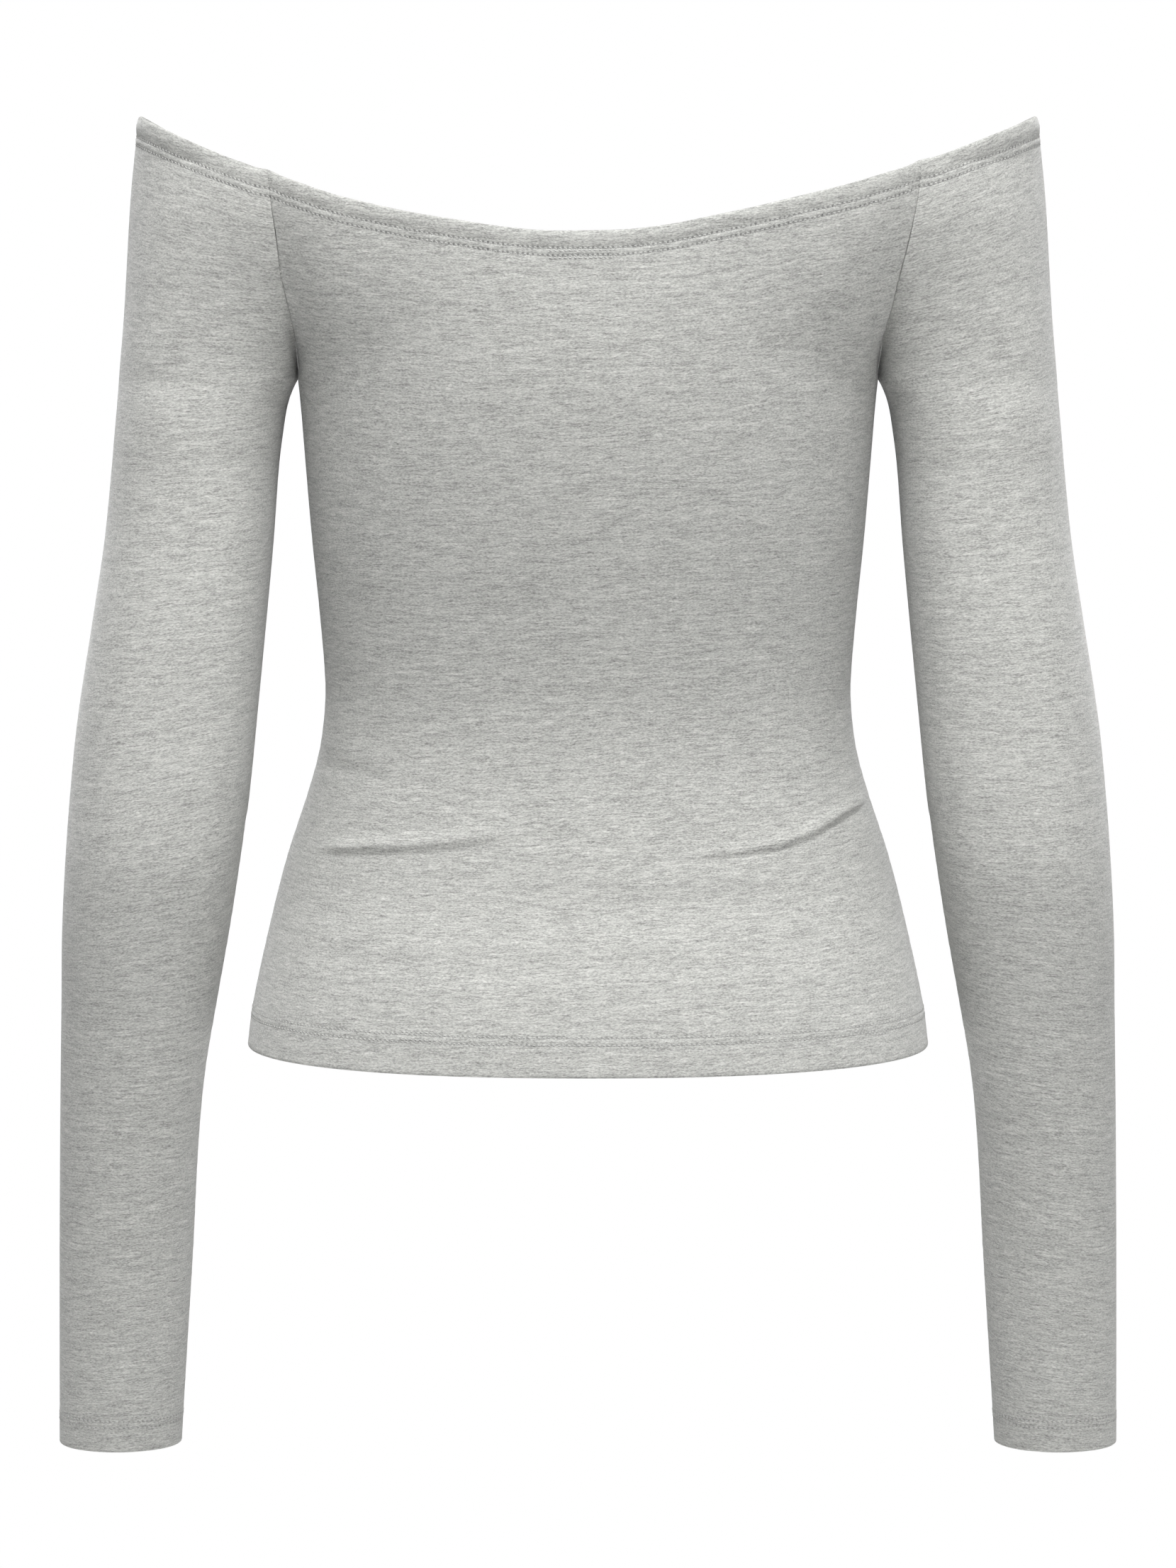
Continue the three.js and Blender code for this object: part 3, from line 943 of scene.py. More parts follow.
class Thread:
    """Meshes of sewing thread: separate surface stitches, and lengths of thread along a path."""

    bead_rings = np.array([-0.86, -0.45, 0.0, 0.45, 0.86])
    bead_sides = 6
    bead_radius = 0.25
    bead_flatness = 0.75
    bead_arch = 0.24
    bead_sunk = 0.16
    tip_sunk = 0.22
    cord_sides = 5

    @classmethod
    def stitches(cls, centres: Array, along: Array, out: Array, length: float) -> MeshPart:
        """Copies one bead of thread to every stitch.

        A bead is a spindle of five rings of six points with a tip at each end. Its radius falls to its ends
        as the root of one minus the fourth power of the way, and its middle line arches out as one minus the
        square.

        Args:
            centres: the stitches' middles.
            along: unit directions along the stitches.
            out: unit directions out of the cloth.
            length: a stitch's length.

        Returns:
            The points, the faces, and the points' UV pairs: the way along the stitch, and round it.
        """
        way = cls.bead_rings
        sides = cls.bead_sides
        radius = cls.bead_radius * np.sqrt(1 - way ** 4)
        turn = np.arange(sides) * math.tau / sides
        side = radius[:, None] * np.cos(turn)[None, :]
        arch = cls.bead_arch * (1 - way[:, None] ** 2)
        rise = cls.bead_flatness * radius[:, None] * np.sin(turn)[None, :] + arch - cls.bead_sunk
        reach = np.broadcast_to(way[:, None] * length / 2, side.shape)
        spindle = np.stack([reach, side, rise], axis=-1).reshape(-1, 3)
        tips = np.array([[-length / 2, 0, -cls.tip_sunk], [length / 2, 0, -cls.tip_sunk]])
        bead = np.concatenate([spindle, tips])
        across = np.cross(out, along)
        axes = np.stack([along, across, out], axis=1)
        points = centres[:, None, :] + np.einsum("bk,nkc->nbc", bead, axes)
        ring = np.arange(sides)
        following = (ring + 1) % sides
        quads = ring_quads(len(way), sides)
        tip = len(way) * sides
        final = tip - sides
        fans = np.concatenate([
            np.stack([np.full(sides, tip), following, ring], axis=-1),
            np.stack([np.full(sides, tip + 1), final + ring, final + following], axis=-1),
        ])
        shift = np.arange(len(centres))[:, None, None] * len(bead)
        faces = [(quads[None] + shift).reshape(-1, 4)[:, ::-1], (fans[None] + shift).reshape(-1, 3)[:, ::-1]]
        ring_pairs = np.stack(np.broadcast_arrays(way[:, None] / 2 + 0.5, turn[None, :] / math.tau), axis=-1)
        pairs = np.concatenate([ring_pairs.reshape(-1, 2), [[0, 0.5], [1, 0.5]]])
        return points.reshape(-1, 3), faces, np.tile(pairs, (len(centres), 1))

    @classmethod
    def lengths(cls, path: Array, out: Array, radius: float) -> MeshPart:
        """A round thread along a path: a ring of five points about each of its points, closed at both ends.

        Args:
            path: the path's points in order.
            out: a direction out of the cloth at each point.
            radius: the thread's radius.

        Returns:
            The points, the faces, and the points' UV pairs: the length in stitches, and the way round.
        """
        along = np.gradient(path, axis=0)
        along /= np.linalg.norm(along, axis=-1, keepdims=True)
        across = np.cross(out, along)
        across /= np.linalg.norm(across, axis=-1, keepdims=True)
        up = np.cross(along, across)
        sides = cls.cord_sides
        turn = np.arange(sides) * math.tau / sides
        ring = np.cos(turn)[None, :, None] * across[:, None, :] + np.sin(turn)[None, :, None] * up[:, None, :]
        points = path[:, None, :] + radius * ring
        quads = ring_quads(len(path), sides)
        corners = np.arange(sides)
        ends = np.stack([corners[::-1], (len(path) - 1) * sides + corners])
        length = lengths_along(path) / STITCH_PITCH
        pairs = np.stack(np.broadcast_arrays(length[:, None], turn[None, :] / math.tau), axis=-1)
        return points.reshape(-1, 3), [quads, ends], pairs.reshape(-1, 2)


def joined(name: str, parts: list[MeshPart]) -> Any:
    """Makes one piece of several meshes of thread.

    Args:
        name: the piece's name.
        parts: each mesh's points, faces and UV pairs.

    Returns:
        The piece, riding on the body.
    """
    starts = np.cumsum([0] + [len(points) for points, _, _ in parts])
    faces = [each + start for (_, meshes, _), start in zip(parts, starts) for each in meshes]
    points = np.concatenate([part[0] for part in parts])
    pairs = np.concatenate([part[2] for part in parts])
    piece = mesh_piece(name, points, faces, {"thread": pairs})
    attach(piece, "root")
    return piece


@dataclass
class Coverstitch:
    """A hem's sewing: two needle rows outside and the looper's zigzag inside, on each panel it crosses."""

    name: str
    forms: tuple[Form, ...]
    hem: Hem
    at_neck: bool
    overlap: tuple[int, float, float] | None = None
    overlap_shift: float = 1.1
    bead_share: float = 0.8

    def row_height(self, form: Form, column: Array, gap: Array | float) -> Array:
        """The height of a line that keeps a gap to the hem's edge.

        Args:
            form: the panel's form.
            column: the columns' places.
            gap: millimetres from the edge.

        Returns:
            The heights.
        """
        if self.at_neck:
            return form.top(column) - gap * form.spread(column)
        return form.lift(column, np.full_like(column, form.foot)) + gap

    def places(self, form: Form, pitch: float) -> Array:
        """Columns that lie one pitch apart along the outer needle row.

        Args:
            form: the panel's form.
            pitch: millimetres between two of them.

        Returns:
            The columns' places.
        """
        column = np.linspace(form.first, form.last, 1500)
        length = lengths_along(form.plain(column, self.row_height(form, column, self.hem.needle)))
        marks = np.arange(pitch / 2, length[-1] - pitch / 3, pitch)
        return np.interp(marks, length, column)

    def rows(self, form: Form, column: Array, shift: float) -> list[MeshPart]:
        """Both needle rows over the given columns, each stitch a little aslant of its row.

        Args:
            form: the panel's form.
            column: the stitches' columns.
            shift: how much further from the edge than usual the rows run.

        Returns:
            The outer and the inner row.
        """
        parts = []
        nudge = form.step * (form.last - form.first)
        for gap in (self.hem.needle + shift, self.hem.needle + NEEDLE_GAUGE + shift):
            z = self.row_height(form, column, gap)
            ahead = column + nudge
            behind = column - nudge
            along = form.plain(ahead, self.row_height(form, ahead, gap))
            along = along - form.plain(behind, self.row_height(form, behind, gap))
            along /= np.linalg.norm(along, axis=-1, keepdims=True)
            out = form.outward(column, z)
            along = math.cos(STITCH_SLANT) * along - math.sin(STITCH_SLANT) * np.cross(out, along)
            parts.append(Thread.stitches(form.cloth(column, z), along, out, self.bead_share * STITCH_PITCH))
        return parts

    def looper(self, form: Form) -> MeshPart:
        """The inside thread: it crosses between the two needle rows at every half stitch.

        Args:
            form: the panel's form.

        Returns:
            The thread's mesh.
        """
        column = self.places(form, STITCH_PITCH / 2)
        side = np.arange(len(column)) % 2
        z = self.row_height(form, column, self.hem.needle + side * NEEDLE_GAUGE)
        path = form.cloth(column, z, -2 * FOLD_RADIUS - LOOPER_GAP)
        return Thread.lengths(path, -form.outward(column, z), LOOPER_RADIUS)

    def build(self) -> Any:
        """Makes the hem's sewing as one piece, with a doubled run where the sewing ends over its start.

        Returns:
            The piece.
        """
        parts = []
        for form in self.forms:
            parts += self.rows(form, self.places(form, STITCH_PITCH), 0.0)
            parts.append(self.looper(form))
        if self.overlap is not None:
            which, low, high = self.overlap
            form = self.forms[which]
            column = self.places(form, STITCH_PITCH)
            x = form.plain(column, self.row_height(form, column, self.hem.needle))[:, 0]
            parts += self.rows(form, column[(x > low) & (x < high)], self.overlap_shift)
        return joined(self.name, parts)


@dataclass
class SeamAllowance:
    """A seam's turned-in edge: a narrow doubled strip on the inside of one panel, with its overlock thread."""

    name: str
    form: Form
    edge: float
    low: float
    high: float
    width: float = 6.5
    thick: float = 1.7
    strip_step: float = 3.0
    start: float = 0.05
    corner: float = 0.5
    inside: float = 0.15

    def place(self, z: Array, away: Array | float) -> Array:
        """The column that lies a distance away from the seam at each height.

        Args:
            z: the heights.
            away: millimetres from the seam.

        Returns:
            The columns' places.
        """
        inward = SHORT_WAY if self.edge == self.form.first else -SHORT_WAY
        start = np.full_like(z, self.edge)
        return self.edge + np.sign(inward) * away / self.form.width_at(start, inward, z)

    def heights(self, pitch: float) -> Array:
        """Heights that lie one pitch apart along the seam.

        Args:
            pitch: millimetres between two of them.

        Returns:
            The heights.
        """
        z = np.linspace(self.low, self.high, 900)
        length = lengths_along(self.form.plain(np.full_like(z, self.edge), z))
        return np.interp(np.arange(0, length[-1], pitch), length, z)

    def build(self) -> tuple[Any, Any]:
        """Makes the strip and its thread.

        The strip is a flat rounded section carried up the seam on the inside of the cloth. The thread crosses
        the strip's face at every half stitch.

        Returns:
            The strip and the thread, each riding on the body.
        """
        z = self.heights(self.strip_step)
        flank = self.width - self.corner
        away = np.array([self.start, self.start, flank, self.width, self.width, flank])
        depth = np.array([0.0, 1.0, 1.0, 0.7, 0.3, 0.0])
        section_z = np.broadcast_to(z[:, None], (len(z), len(away)))
        column = self.place(section_z, away[None, :])
        points = self.form.cloth(column, section_z, -CLOTH - self.inside - depth[None, :] * self.thick)
        count = len(away)
        corners = np.arange(count)
        faces = [ring_quads(len(z), count), np.stack([corners[::-1], (len(z) - 1) * count + corners])]
        if (self.edge == self.form.first) == (self.form.sign > 0):
            faces = [each[:, ::-1] for each in faces]
        flat = np.stack(np.broadcast_arrays(away[None, :] * MM, z[:, None] * MM), axis=-1).reshape(-1, 2)
        maps = {"cloth": flat, "sewing": flat + 1.0, "drawn": 0 * flat}
        strip = mesh_piece(self.name, points.reshape(-1, 3), faces, maps)
        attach(strip, "root")
        marks = self.heights(STITCH_PITCH / 2)
        reach = np.where(np.arange(len(marks)) % 2 == 0, 1.0, self.width + 0.1)
        column = self.place(marks, reach)
        path = self.form.cloth(column, marks, -CLOTH - self.inside - LOOPER_GAP - self.thick)
        cord = Thread.lengths(path, -self.form.outward(column, marks), LOOPER_RADIUS)
        return strip, joined(f"{self.name}_thread", [cord])


class Tree:
    """A node tree with short calls that add nodes and join them."""

    def __init__(self, tree: Any) -> None:
        """Keeps the tree."""
        self.tree = tree

    def add(self, kind: str, inputs: dict[str | int, Any] | None = None, **settings: Any) -> Any:
        """Adds a node.

        Args:
            kind: the node's type, without its ShaderNode prefix.
            inputs: what the node's sockets get, as in fill().
            settings: the node's own properties.

        Returns:
            The node.
        """
        node = self.tree.nodes.new(kind if kind.startswith("Node") else f"ShaderNode{kind}")
        for key, value in settings.items():
            setattr(node, key, value)
        self.fill(node, inputs or {})
        return node

    def fill(self, node: Any, inputs: dict[str | int, Any]) -> None:
        """Links or sets a node's inputs.

        Args:
            node: the node.
            inputs: sockets by name or number; another node's socket is linked, and anything else is set.
        """
        for key, value in inputs.items():
            if isinstance(value, bpy.types.NodeSocket):
                self.tree.links.new(value, node.inputs[key])
            else:
                node.inputs[key].default_value = value

    def maths(self, operation: str, *values: Any) -> Any:
        """A Math node's result, from sockets or numbers."""
        return self.add("Math", dict(enumerate(values)), operation=operation).outputs[0]

    def clamped(self, operation: str, *values: Any) -> Any:
        """A Math node's result, kept between 0 and 1."""
        return self.add("Math", dict(enumerate(values)), operation=operation, use_clamp=True).outputs[0]

    def vector(self, operation: str, first: Any, second: Any) -> Any:
        """A Vector Math node's result."""
        return self.add("VectorMath", {0: first, 1: second}, operation=operation).outputs[0]

    def blend(self, mask: Any, low: Any, high: Any) -> Any:
        """A colour that goes from low to high as the mask goes from 0 to 1."""
        return self.add("Mix", {0: mask, 6: low, 7: high}, data_type="RGBA").outputs[2]

    def from_half(self, value: Any, weight: Any) -> Any:
        """A value less a half, times a weight."""
        return self.maths("MULTIPLY", self.maths("SUBTRACT", value, 0.5), weight)

    def noise(self, place: Any, scale: float, detail: float, roughness: float = 0.5) -> Any:
        """Noise about a half, from a place in space."""
        inputs = {"Vector": place, "Scale": scale, "Detail": detail, "Roughness": roughness}
        return self.add("TexNoise", inputs).outputs[0]


def new_group(name: str, inputs: dict[str, tuple[str, Any]], outputs: dict[str, str]) -> tuple[Tree, Any, Any]:
    """Makes an empty shader node group with named sockets.

    Args:
        name: the group's name.
        inputs: each input's socket type and default value.
        outputs: each output's socket type.

    Returns:
        The tree, what the group is given, and its output node.
    """
    tree = bpy.data.node_groups.new(name, "ShaderNodeTree")
    for label, (kind, value) in inputs.items():
        socket = tree.interface.new_socket(name=label, in_out="INPUT", socket_type=kind)
        if value is not None:
            socket.default_value = value
    for label, kind in outputs.items():
        tree.interface.new_socket(name=label, in_out="OUTPUT", socket_type=kind)
    wrapped = Tree(tree)
    return wrapped, wrapped.add("NodeGroupInput").outputs, wrapped.add("NodeGroupOutput")


def new_material(name: str) -> tuple[Any, Tree, Any]:
    """Makes a material with the usual shader.

    Args:
        name: the material's name.

    Returns:
        The material, its tree and its shader.
    """
    made = bpy.data.materials.new(name)
    made.use_nodes = True
    return made, Tree(made.node_tree), made.node_tree.nodes["Principled BSDF"]


WANDER_SCALE = 110.0
WANDER = 0.0022
DASH_LAYERS = ((1.0, 0.75), (0.62, 0.9), (0.2, 0.42))
GRAIN_STRETCH = (4.2, 1.0, 1.0)
LATTICE_TURN = (0.6, 0.45, 0.7)


def melange_group() -> Any:
    """The heather of a melange yarn: pale and dark dashes of several lengths along the courses, and a grain.

    The mix is a half, plus each noise less a half times its weight, and it turns between the dark and the
    light fibre. The dashes are noises stretched along the course by the ratio of the dash's length to its
    height, and the grain is a quarter as long. Each noise is turned in its stretched space, so that its
    lattice doesn't show as columns.

    Returns:
        The group.
    """
    tree, given, result = new_group("melange_yarn", {
        "Cloth": ("NodeSocketVector", None),
        "Light fibre": ("NodeSocketColor", (0.6, 0.6, 0.6, 1)),
        "Dark fibre": ("NodeSocketColor", (0.2, 0.2, 0.2, 1)),
        "Dash length": ("NodeSocketFloat", 0.005),
        "Dash height": ("NodeSocketFloat", 0.0005),
        "Grain": ("NodeSocketFloat", 1.5),
        "Strength": ("NodeSocketFloat", 1.0),
    }, {"Color": "NodeSocketColor"})
    across = tree.maths("DIVIDE", 1.0, given["Dash length"])
    upward = tree.maths("DIVIDE", 1.0, given["Dash height"])
    stretch = tree.add("CombineXYZ", {"X": across, "Y": upward, "Z": 1.0}).outputs[0]
    wander = tree.noise(given["Cloth"], WANDER_SCALE, 2.0)
    drift = tree.add("CombineXYZ", {"Y": tree.from_half(wander, WANDER)}).outputs[0]
    laid = tree.vector("MULTIPLY", tree.vector("ADD", given["Cloth"], drift), stretch)
    short = tree.vector("MULTIPLY", laid, GRAIN_STRETCH)
    mix: Any = 0.5
    dashes = [(laid, scale, weight) for scale, weight in DASH_LAYERS]
    for source, scale, weight in (*dashes, (short, 1.0, given["Grain"])):
        inputs = {"Vector": source, "Rotation": LATTICE_TURN}
        turned = tree.add("VectorRotate", inputs, rotation_type="EULER_XYZ")
        noise = tree.noise(turned.outputs[0], scale, 2.0, 0.6)
        mix = tree.maths("ADD", mix, tree.from_half(noise, weight))
    mix = tree.clamped("ADD", tree.from_half(mix, given["Strength"]), 0.5)
    tree.fill(result, {"Color": tree.blend(mix, given["Dark fibre"], given["Light fibre"])})
    return tree.tree


def knit_group() -> Any:
    """The jersey's surface: wales and courses of loops, with loose fibre over them.

    Height is the size of the sine across each wale, plus a part of the sine of each course shifted by the
    wale, plus fine noise for the fibre.

    Returns:
        The group.
    """
    tree, given, result = new_group("jersey_knit", {
        "Cloth": ("NodeSocketVector", None),
        "Wale": ("NodeSocketFloat", 0.00062),
        "Course": ("NodeSocketFloat", 0.0005),
        "Fibre": ("NodeSocketFloat", 0.6),
    }, {"Height": "NodeSocketFloat"})
    parts = tree.add("SeparateXYZ", {"Vector": given["Cloth"]})
    wale = tree.maths("MULTIPLY", tree.maths("DIVIDE", parts.outputs[0], given["Wale"]), math.pi)
    course = tree.maths("MULTIPLY", tree.maths("DIVIDE", parts.outputs[1], given["Course"]), math.tau)
    ridge = tree.maths("ABSOLUTE", tree.maths("SINE", wale))
    loop = tree.maths("SINE", tree.maths("ADD", course, tree.maths("MULTIPLY", ridge, 2.2)))
    knit = tree.maths("ADD", tree.maths("MULTIPLY", ridge, 0.5), tree.maths("MULTIPLY", loop, 0.2))
    fibre = tree.noise(given["Cloth"], 1100.0, 4.0, 0.65)
    tree.fill(result, {"Height": tree.maths("ADD", knit, tree.maths("MULTIPLY", fibre, given["Fibre"]))})
    return tree.tree


def needle_group() -> Any:
    """Needle holes along a hem: a small one at every stitch's end, in each of the two rows.

    The mask dents the cloth's bump, and darkens its colour as painted shade inside the holes. The distance to
    the nearest one is the root of the squares of the way to the nearest whole stitch and the way to the nearer
    row, and the mask fades out from the holes' radius to twice it. It is stronger in some places, and as strong
    as the hem is tight.

    Returns:
        The group.
    """
    tree, given, result = new_group("needle_holes_and_shade", {
        "Sewing": ("NodeSocketVector", None),
        "Pitch": ("NodeSocketFloat", 0.0022),
        "Gauge": ("NodeSocketFloat", 0.0032),
        "Hole": ("NodeSocketFloat", 0.00038),
        "Drawn": ("NodeSocketFloat", 1.0),
    }, {"Hole and shade": "NodeSocketFloat"})
    parts = tree.add("SeparateXYZ", {"Vector": given["Sewing"]})
    stitch = tree.maths("DIVIDE", parts.outputs[0], given["Pitch"])
    along = tree.maths("MULTIPLY", tree.maths("SUBTRACT", stitch, tree.maths("ROUND", stitch)), given["Pitch"])
    outer = tree.maths("ABSOLUTE", parts.outputs[1])
    inner = tree.maths("ABSOLUTE", tree.maths("SUBTRACT", parts.outputs[1], given["Gauge"]))
    near = tree.maths("MINIMUM", outer, inner)
    away = tree.maths("SQRT", tree.maths("ADD", tree.maths("POWER", tree.maths("ABSOLUTE", along), 2.0),
                                         tree.maths("POWER", near, 2.0)))
    edge = tree.maths("MULTIPLY", given["Hole"], 2.0)
    round_hole = tree.add("MapRange", {0: away, 1: given["Hole"], 2: edge, 3: 1.0, 4: 0.0}).outputs[0]
    uneven = tree.maths("MULTIPLY", tree.noise(given["Sewing"], 260.0, 1.0), 1.7)
    strength = tree.maths("MULTIPLY", uneven, given["Drawn"])
    tree.fill(result, {"Hole and shade": tree.clamped("MULTIPLY", round_hole, strength)})
    return tree.tree


@dataclass(frozen=True)
class JerseyFinish:
    """Fine melange jersey of cotton: its fibres' colours, painted shade in its needle holes, its dashes' size,
    bump and gloss.
    """

    name: str = "melange_jersey"
    light: Colour = (0.580, 0.583, 0.556)
    dark: Colour = (0.173, 0.174, 0.166)
    # Painted shade: the dark colour inside the needle holes.
    hole_shade: Colour = (0.08, 0.08, 0.08)
    dash_length: float = 0.005
    dash_height: float = 0.0005
    grain: float = 1.5
    strength: float = 1.0
    roughness: float = 0.92
    specular: float = 0.25
    sheen: float = 0.35
    sheen_roughness: float = 0.55
    bump: float = 0.00011
    bump_strength: float = 0.6
    hole_depth: float = 3.0

    def material(self) -> Any:
        """Makes the material: melange on the flat cloth, needle holes in the hems dented and darkened as
        painted shade, the knit as a fine bump.

        Returns:
            The material.
        """
        made, tree, shader = new_material(self.name)
        cloth = tree.add("UVMap", uv_map="cloth").outputs[0]
        sewing = tree.add("UVMap", uv_map="sewing").outputs[0]
        drawn = tree.add("SeparateXYZ", {"Vector": tree.add("UVMap", uv_map="drawn").outputs[0]}).outputs[0]
        groups = bpy.data.node_groups
        yarn = tree.add("Group", {
            "Cloth": cloth, "Light fibre": (*self.light, 1), "Dark fibre": (*self.dark, 1),
            "Dash length": self.dash_length, "Dash height": self.dash_height,
            "Grain": self.grain, "Strength": self.strength,
        }, node_tree=groups["melange_yarn"]).outputs["Color"]
        knit = tree.add("Group", {"Cloth": cloth}, node_tree=groups["jersey_knit"]).outputs["Height"]
        hole_and_shade = tree.add("Group", {
            "Sewing": sewing, "Drawn": drawn, "Pitch": STITCH_PITCH * MM, "Gauge": NEEDLE_GAUGE * MM,
        }, node_tree=groups["needle_holes_and_shade"]).outputs["Hole and shade"]
        height = tree.maths("SUBTRACT", knit, tree.maths("MULTIPLY", hole_and_shade, self.hole_depth))
        bump = {"Strength": self.bump_strength, "Distance": self.bump, "Height": height}
        # Painted shade: the base colour turns dark inside the needle holes, where shade would fall.
        tree.fill(shader, {
            "Base Color": tree.blend(hole_and_shade, yarn, (*self.hole_shade, 1)),
            "Normal": tree.add("Bump", bump).outputs[0],
            "Roughness": self.roughness,
            "Specular IOR Level": self.specular,
            "Sheen Weight": self.sheen,
            "Sheen Roughness": self.sheen_roughness,
        })
        return made


@dataclass(frozen=True)
class ThreadFinish:
    """Spun polyester sewing thread, dyed to the cloth: its colour on the ply, and darker painted shade between
    the plies.
    """

    name: str = "sewing_thread"
    ply: Colour = (0.46, 0.46, 0.445)
    # Painted shade: the darker colour between the plies.
    groove_shade: Colour = (0.26, 0.26, 0.255)
    roughness: float = 0.6
    bump: float = 0.0001

    def material(self) -> Any:
        """Makes the material: slanting plies along the thread's own map, as bump, and as colour darkened
        between the plies as painted shade.

        Returns:
            The material.
        """
        made, tree, shader = new_material(self.name)
        parts = tree.add("SeparateXYZ", {"Vector": tree.add("UVMap", uv_map="thread").outputs[0]})
        length = tree.maths("MULTIPLY", parts.outputs[0], 5.0)
        twist = tree.maths("ADD", length, tree.maths("MULTIPLY", parts.outputs[1], 2.0))
        wave = tree.maths("ABSOLUTE", tree.maths("SINE", tree.maths("MULTIPLY", twist, math.pi)))
        place = tree.add("TexCoord").outputs["Object"]
        fleck = tree.maths("MULTIPLY", tree.noise(place, 900.0, 2.0), 0.5)
        mix = tree.clamped("ADD", tree.maths("MULTIPLY", wave, 0.7), fleck)
        bump = {"Strength": 0.5, "Distance": self.bump, "Height": wave}
        tree.fill(shader, {
            # Painted shade: the colour darkens between the plies, where the twist's grooves would be in shade.
            "Base Color": tree.blend(mix, (*self.groove_shade, 1), (*self.ply, 1)),
            "Normal": tree.add("Bump", bump).outputs[0],
            "Roughness": self.roughness,
        })
        return made


class Top:
    """The whole top: four panels, the hems' sewing and the seams' turned-in edges."""

    def __init__(self) -> None:
        """Sets out the forms, and the pieces on them."""
        back = TorsoForm(Face.BACK)
        front = TorsoForm(Face.FRONT)
        left = SleeveForm(Hand.LEFT)
        right = SleeveForm(Hand.RIGHT)
        torso_rows = ((-292.0, 28), (-242.0, 78), (-76.0, 62), (ARMPIT_Z, 5))
        sleeve_rows = ((-330.0, 72), (-255.0, 46), (-76.0, 60), (ARMPIT_Z, 5))
        self.panels = [
            Panel("back_panel", "back", back, 144, (0.39, 0.45), 0.135, torso_rows),
            Panel("front_panel", "front", front, 144, (0.39, 0.44), 0.134, torso_rows),
            Panel("left_sleeve", "sleeve_left", left, 108, (0.31, 0.62), 0.140, sleeve_rows),
            Panel("right_sleeve", "sleeve_right", right, 108, (0.31, 0.62), 0.140, sleeve_rows),
        ]
        self.sewing = [
            Coverstitch("neck_coverstitch", (back, left, front, right), NECK_HEM, True, (0, -18.0, 12.0)),
            Coverstitch("hem_coverstitch", (back, front), BODY_HEM, False, (0, -84.0, -64.0)),
            Coverstitch("left_cuff_coverstitch", (left,), CUFF_HEM, False),
            Coverstitch("right_cuff_coverstitch", (right,), CUFF_HEM, False),
        ]
        low = HEM_Z + BODY_HEM_DEPTH + 1.5
        cuff = CUFF_Z + CUFF_HEM_DEPTH + 1.5
        below = ARMPIT_Z - 4.0
        above = ARMPIT_Z + 1.0
        self.allowances = [
            SeamAllowance("left_side_allowance", back, -1.0, low, below),
            SeamAllowance("right_side_allowance", back, 1.0, low, below),
        ]
        for name, form in (("left", left), ("right", right)):
            self.allowances += [
                SeamAllowance(f"{name}_underarm_allowance", form, 0.0, cuff, below),
                SeamAllowance(f"{name}_back_armhole_allowance", form, 0.0, above, 12.0),
                SeamAllowance(f"{name}_front_armhole_allowance", form, 1.0, above, 5.0),
            ]

    def build(self) -> None:
        jersey = JerseyFinish().material()
        thread = ThreadFinish().material()
        for panel in self.panels:
            piece = panel.build()
            piece.data.materials.append(jersey)
            log.info("%s: %d faces", panel.name, len(piece.data.polygons))
        for sewn in self.sewing:
            piece = sewn.build()
            piece.data.materials.append(thread)
            log.info("%s: %d faces", sewn.name, len(piece.data.polygons))
        for allowance in self.allowances:
            strip, overlock = allowance.build()
            strip.data.materials.append(jersey)
            overlock.data.materials.append(thread)
            log.info("%s: %d faces", allowance.name, len(strip.data.polygons) + len(overlock.data.polygons))


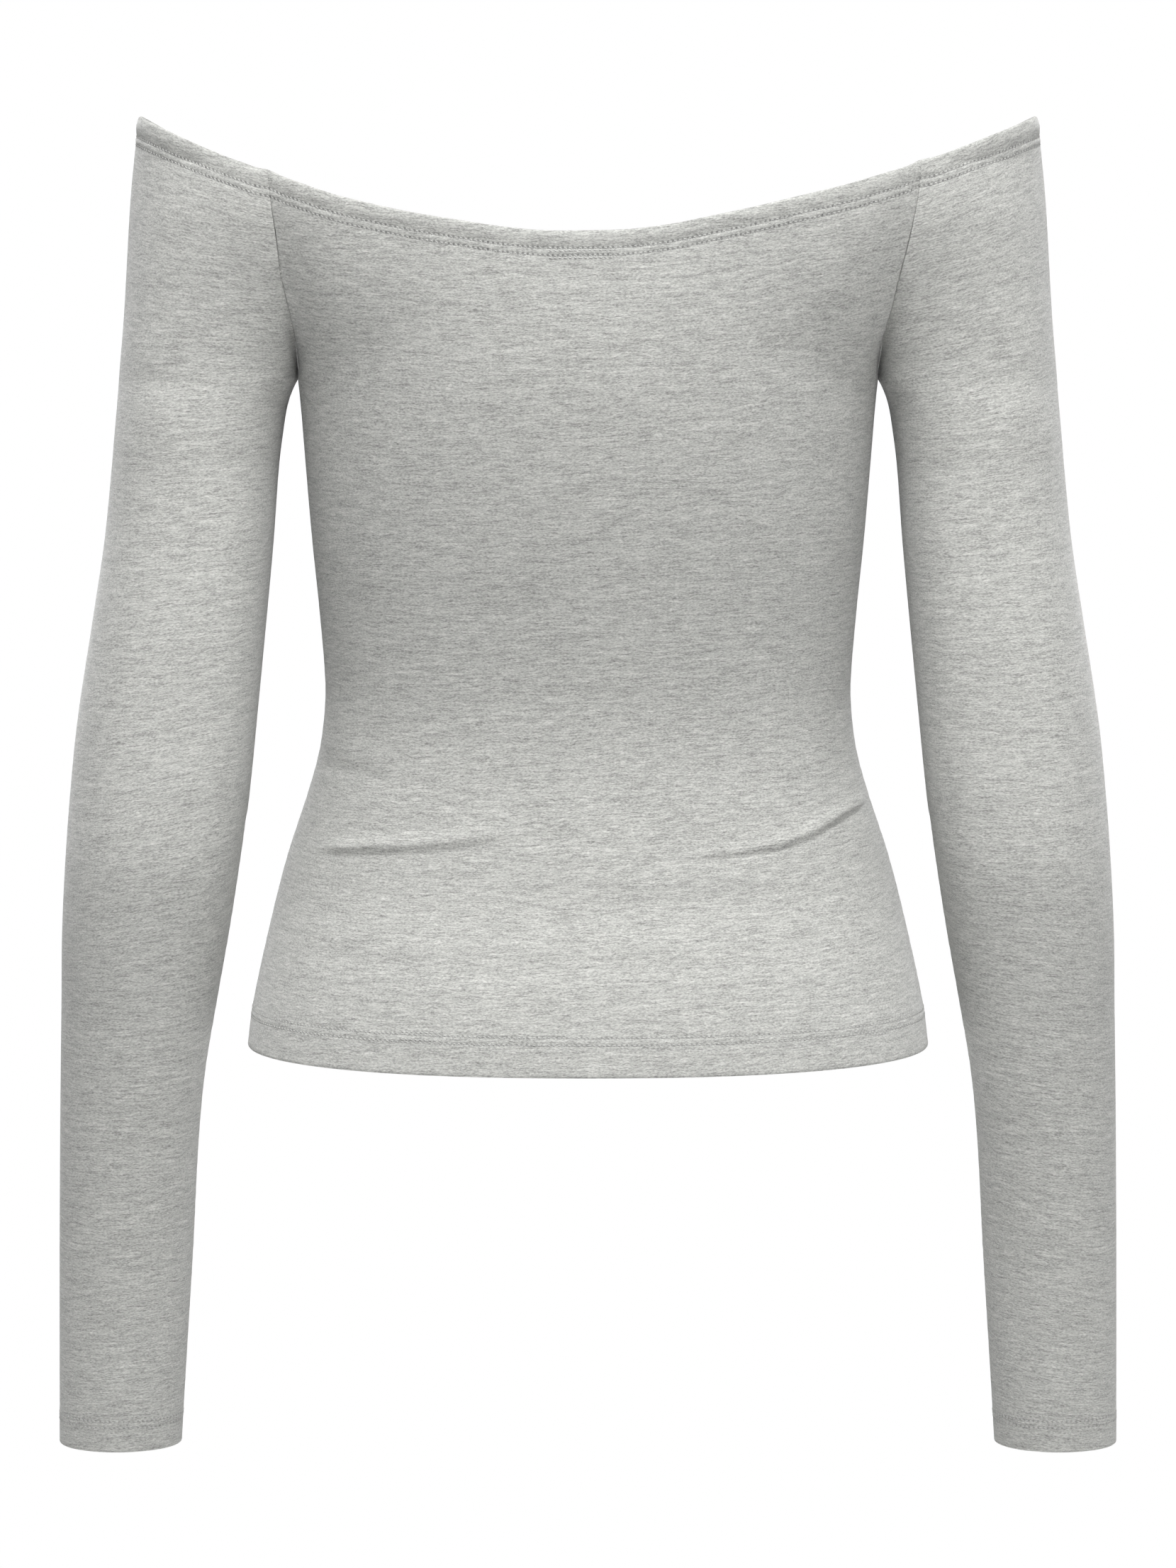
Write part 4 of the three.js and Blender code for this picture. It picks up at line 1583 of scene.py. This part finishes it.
@dataclass
class Studio:
    """A pale floor, soft light and the photograph's camera."""

    aim: Place = (0.0, 0.0, -0.2542)
    distance: float = 2.6
    elevation: float = 6.5
    focal_pixels: float = 8000.0
    frame_pixels: float = 2212.0
    sensor: float = 36.0
    floor_z: float = -0.80
    floor_radius: float = 9.0
    floor_sides: int = 96
    floor_glow: float = 1.0
    faint_light: float = 0.006

    def camera(self) -> None:
        """Places the camera at its distance from the aim, raised by its elevation."""
        data = bpy.data.cameras.new("camera")
        data.sensor_width = self.sensor
        data.lens = self.focal_pixels * self.sensor / self.frame_pixels
        data.clip_end = 50
        camera = bpy.data.objects.new("camera", data)
        raised = math.radians(self.elevation)
        x, y, z = self.aim
        camera.location = (x, y - self.distance * math.cos(raised), z + self.distance * math.sin(raised))
        camera.rotation_euler = (math.pi / 2 - raised, 0, 0)
        bpy.context.scene.collection.objects.link(camera)
        bpy.context.scene.camera = camera

    def light(self, name: str, place: Place, size: tuple[float, float], power: float) -> None:
        """A soft box that faces the aim.

        Args:
            name: the light's name.
            place: where it stands, in metres.
            size: its width and its length, in metres.
            power: its power, in watts.
        """
        data = bpy.data.lights.new(name, "AREA")
        data.shape = "RECTANGLE"
        data.size, data.size_y = size
        data.energy = power
        lamp = bpy.data.objects.new(name, data)
        lamp.location = place
        dx, dy, dz = (a - b for a, b in zip(self.aim, place))
        lamp.rotation_euler = (math.atan2(math.hypot(dx, dy), -dz), 0, math.atan2(dy, dx) - math.pi / 2)
        bpy.context.scene.collection.objects.link(lamp)

    def floor(self) -> None:
        """A round plain floor of points at even angles, joined to their centre, lit as the white behind it."""
        sides = self.floor_sides
        turn = np.linspace(0, math.tau, sides + 1)[:-1]
        reach = self.floor_radius
        rim = np.stack([reach * np.cos(turn), reach * np.sin(turn), 0 * turn + self.floor_z], axis=-1)
        points = np.concatenate([[[0, 0, self.floor_z]], rim]) / MM
        ring = np.arange(sides)
        faces = [np.stack([np.zeros(sides, int), 1 + ring, 1 + (ring + 1) % sides], axis=-1)]
        floor = mesh_piece("floor", points, faces)
        made, tree, shader = new_material("pale_floor")
        grain = tree.noise(tree.add("TexCoord").outputs["Object"], 3.0, 2.0)
        tree.fill(shader, {
            "Base Color": tree.blend(grain, (0.76, 0.76, 0.76, 1), (0.79, 0.79, 0.79, 1)),
            "Roughness": 0.95,
            "Specular IOR Level": 0.1,
        })
        glow = tree.add("Emission", {"Color": (1, 1, 1, 1), "Strength": self.floor_glow})
        ray = tree.add("LightPath").outputs["Is Camera Ray"]
        mixed = tree.add("MixShader", {0: ray, 1: shader.outputs[0], 2: glow.outputs[0]})
        tree.fill(made.node_tree.nodes["Material Output"], {"Surface": mixed.outputs[0]})
        floor.data.materials.append(made)

    def world(self) -> None:
        """White all round for the camera, and a faint even light on the object."""
        world = bpy.data.worlds.new("studio")
        world.use_nodes = True
        tree = Tree(world.node_tree)
        world.node_tree.nodes.clear()
        seen = tree.add("Background", {"Color": (1, 1, 1, 1), "Strength": 1.0})
        lit = tree.add("Background", {"Color": (1, 1, 1, 1), "Strength": self.faint_light})
        ray = tree.add("LightPath").outputs["Is Camera Ray"]
        mixed = tree.add("MixShader", {0: ray, 1: lit.outputs[0], 2: seen.outputs[0]})
        tree.add("OutputWorld", {"Surface": mixed.outputs[0]})
        bpy.context.scene.world = world

    def build(self) -> None:
        """Sets up the camera, the lights, the floor and the plain colour transform."""
        self.camera()
        self.world()
        self.floor()
        self.light("overhead", place=(0.0, -2.0, 5.4), size=(1.0, 4.4), power=682.0)
        self.light("fill", place=(2.2, -3.4, 0.6), size=(1.4, 1.4), power=27.0)
        self.light("behind", place=(0.0, 1.9, 2.0), size=(1.0, 2.2), power=14.0)
        bpy.context.scene.view_settings.view_transform = "Standard"


def main() -> None:
    """Builds the groups, the studio and the top."""
    logging.basicConfig(level=logging.INFO, format="%(name)s: %(message)s")
    Studio().build()
    melange_group()
    knit_group()
    needle_group()
    Top().build()
    bpy.context.view_layer.update()


if __name__ == "__main__":
    main()
